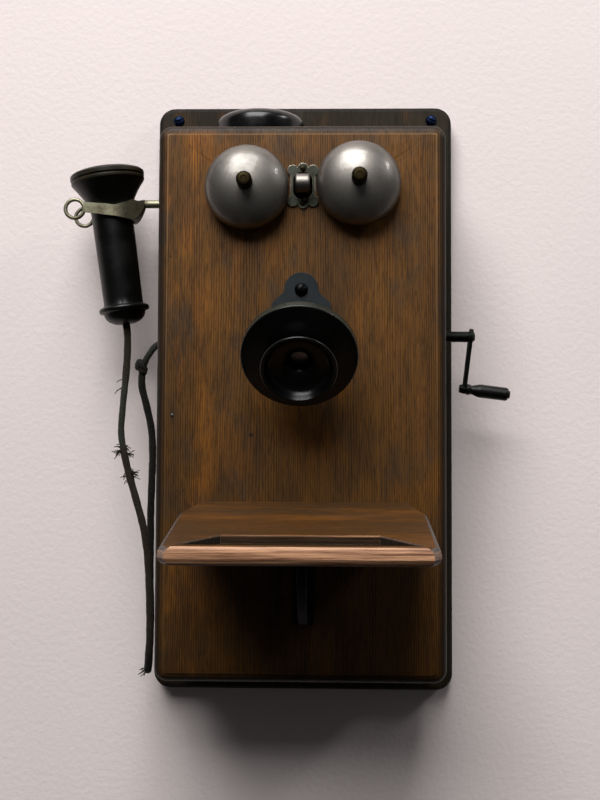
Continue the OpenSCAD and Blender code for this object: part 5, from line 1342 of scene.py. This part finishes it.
def cell_card():
    """Waxed cardboard jackets of the dry cells, with black pitch in their tops."""
    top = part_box("dry_cells")[1].z

    def pitch(tree, place, shares):
        height = add(tree, "ShaderNodeSeparateXYZ", {0: place}, out="Z")
        return {"pitch": add(tree, "ShaderNodeMapRange", {0: height, 1: top - 5.5 * MM, 2: top - 4.5 * MM})}

    return finish(
        "waxed cardboard of the dry cells",
        "#8d7f63",
        {"fibre": ((3.3, 3.3, 17), 4, 0.3, 0.7), "cloud": (cube(40), 4, 0.5, 0.75)},
        [("fibre", 0.5, "#6b5d45"), ("cloud", 0.6, "#4b3f2d"), ("pitch", 1.0, "#0b0a09")],
        (0.5, ("fibre", 0.1)),
        (0.05, ("fibre", 1.0)),
        pitch,
    )


class TELEPHONE_OT_ironwork(bpy.types.Operator):
    """Dresses the shelf's bracket, the hinges and everything inside the case"""

    bl_idname = "telephone.ironwork"
    bl_label = "Ironwork and works"

    def execute(self, context):
        # Matt black, browned by dust.
        japan = coating("black japanned iron of the shelf's bracket", "#030303", "#0a0905", 0.7, 0.7, 0.03)
        dress("shelf_stay", "shelf_stay_japan", japan, edge=0.6)
        # Yellow brass, mostly gone brown.
        hinge = metal("brass of the hinges", colours().brass, "#2b2418", 0.38, 0.8)
        for node in ("box_hinge_leaves", "door_hinge_leaves", "hinge_pins"):
            dress(node, node + "_brass", hinge, edge=0.15)
        # Inside the case the metals are cleaner: golden brass, grey steel, and black and brown iron.
        brass = metal("lacquered brass of the works", "#a8894a", "#5d4a26", 0.28, 0.5)
        steel = metal("bright steel of the works", "#8a8a88", "#4a4844", 0.3, 0.5)
        magnet = coating("dark painted magnet steel", "#1f2226", "#2f2a24", 0.42, 0.6, 0.03)
        iron = coating("japanned iron of the frames", "#121314", "#201d18", 0.4, 0.6, 0.03)
        # Dull dark red board.
        fibre = coating("red vulcanised fibre", "#4a1712", "#2c0f0b", 0.5, 0.7)
        spring = metal("spring brass of the contacts", "#b89a58", "#7a6232", 0.3, 0.4)
        # Silk shows its colour and the dark lines between its turns.
        silk = winding("green silk covering of the induction coil", "#2f4a2c", "X")
        wire = winding("silk-covered copper wire of the ringer coils", "#5a2a1a", "Z")
        finishes = {
            brass: (
                "door_catch", "generator_end_plates", "drive_gear", "pinion", "binding_posts", "hook_pin",
            ),
            steel: ("generator_armature", "clapper_armature", "pole_pieces"),
            magnet: ("generator_magnets", "ringer_magnet"),
            iron: ("generator_base", "hook_frame", "ringer_frame"),
            fibre: ("terminal_block", "spring_block"),
            spring: ("switch_springs",),
            cell_card(): ("dry_cells",),
            silk: ("induction_coil",),
            wire: ("ringer_coils",),
        }
        for material, nodes in finishes.items():
            for node in nodes:
                paint(node, material)
        return {"FINISHED"}


class TELEPHONE_PT_panel(bpy.types.Panel):
    """Lists the steps that build the telephone"""

    bl_label = "Oak wall telephone"
    bl_idname = "TELEPHONE_PT_panel"
    bl_space_type = "VIEW_3D"
    bl_region_type = "UI"
    bl_category = "Telephone"

    def draw(self, context):
        for step in STEPS:
            self.layout.operator(step.bl_idname)
        for group in (context.scene.telephone_sizes, context.scene.telephone_colours):
            for name in group.__annotations__:
                self.layout.prop(group, name)


STEPS = (
    TELEPHONE_OT_stage,
    TELEPHONE_OT_cord,
    TELEPHONE_OT_woodwork,
    TELEPHONE_OT_gongs,
    TELEPHONE_OT_transmitter,
    TELEPHONE_OT_receiver,
    TELEPHONE_OT_crank,
    TELEPHONE_OT_roof,
    TELEPHONE_OT_ironwork,
)
CLASSES = (TelephoneSizes, TelephoneColours, *STEPS, TELEPHONE_PT_panel)


def register():
    for item in CLASSES:
        bpy.utils.register_class(item)
    bpy.types.Scene.telephone_sizes = PointerProperty(type=TelephoneSizes)
    bpy.types.Scene.telephone_colours = PointerProperty(type=TelephoneColours)


def unregister():
    del bpy.types.Scene.telephone_colours
    del bpy.types.Scene.telephone_sizes
    for item in reversed(CLASSES):
        bpy.utils.unregister_class(item)


def main():
    register()
    for step in STEPS:
        group, name = step.bl_idname.split(".")
        getattr(getattr(bpy.ops, group), name)()


if __name__ == "__main__":
    main()
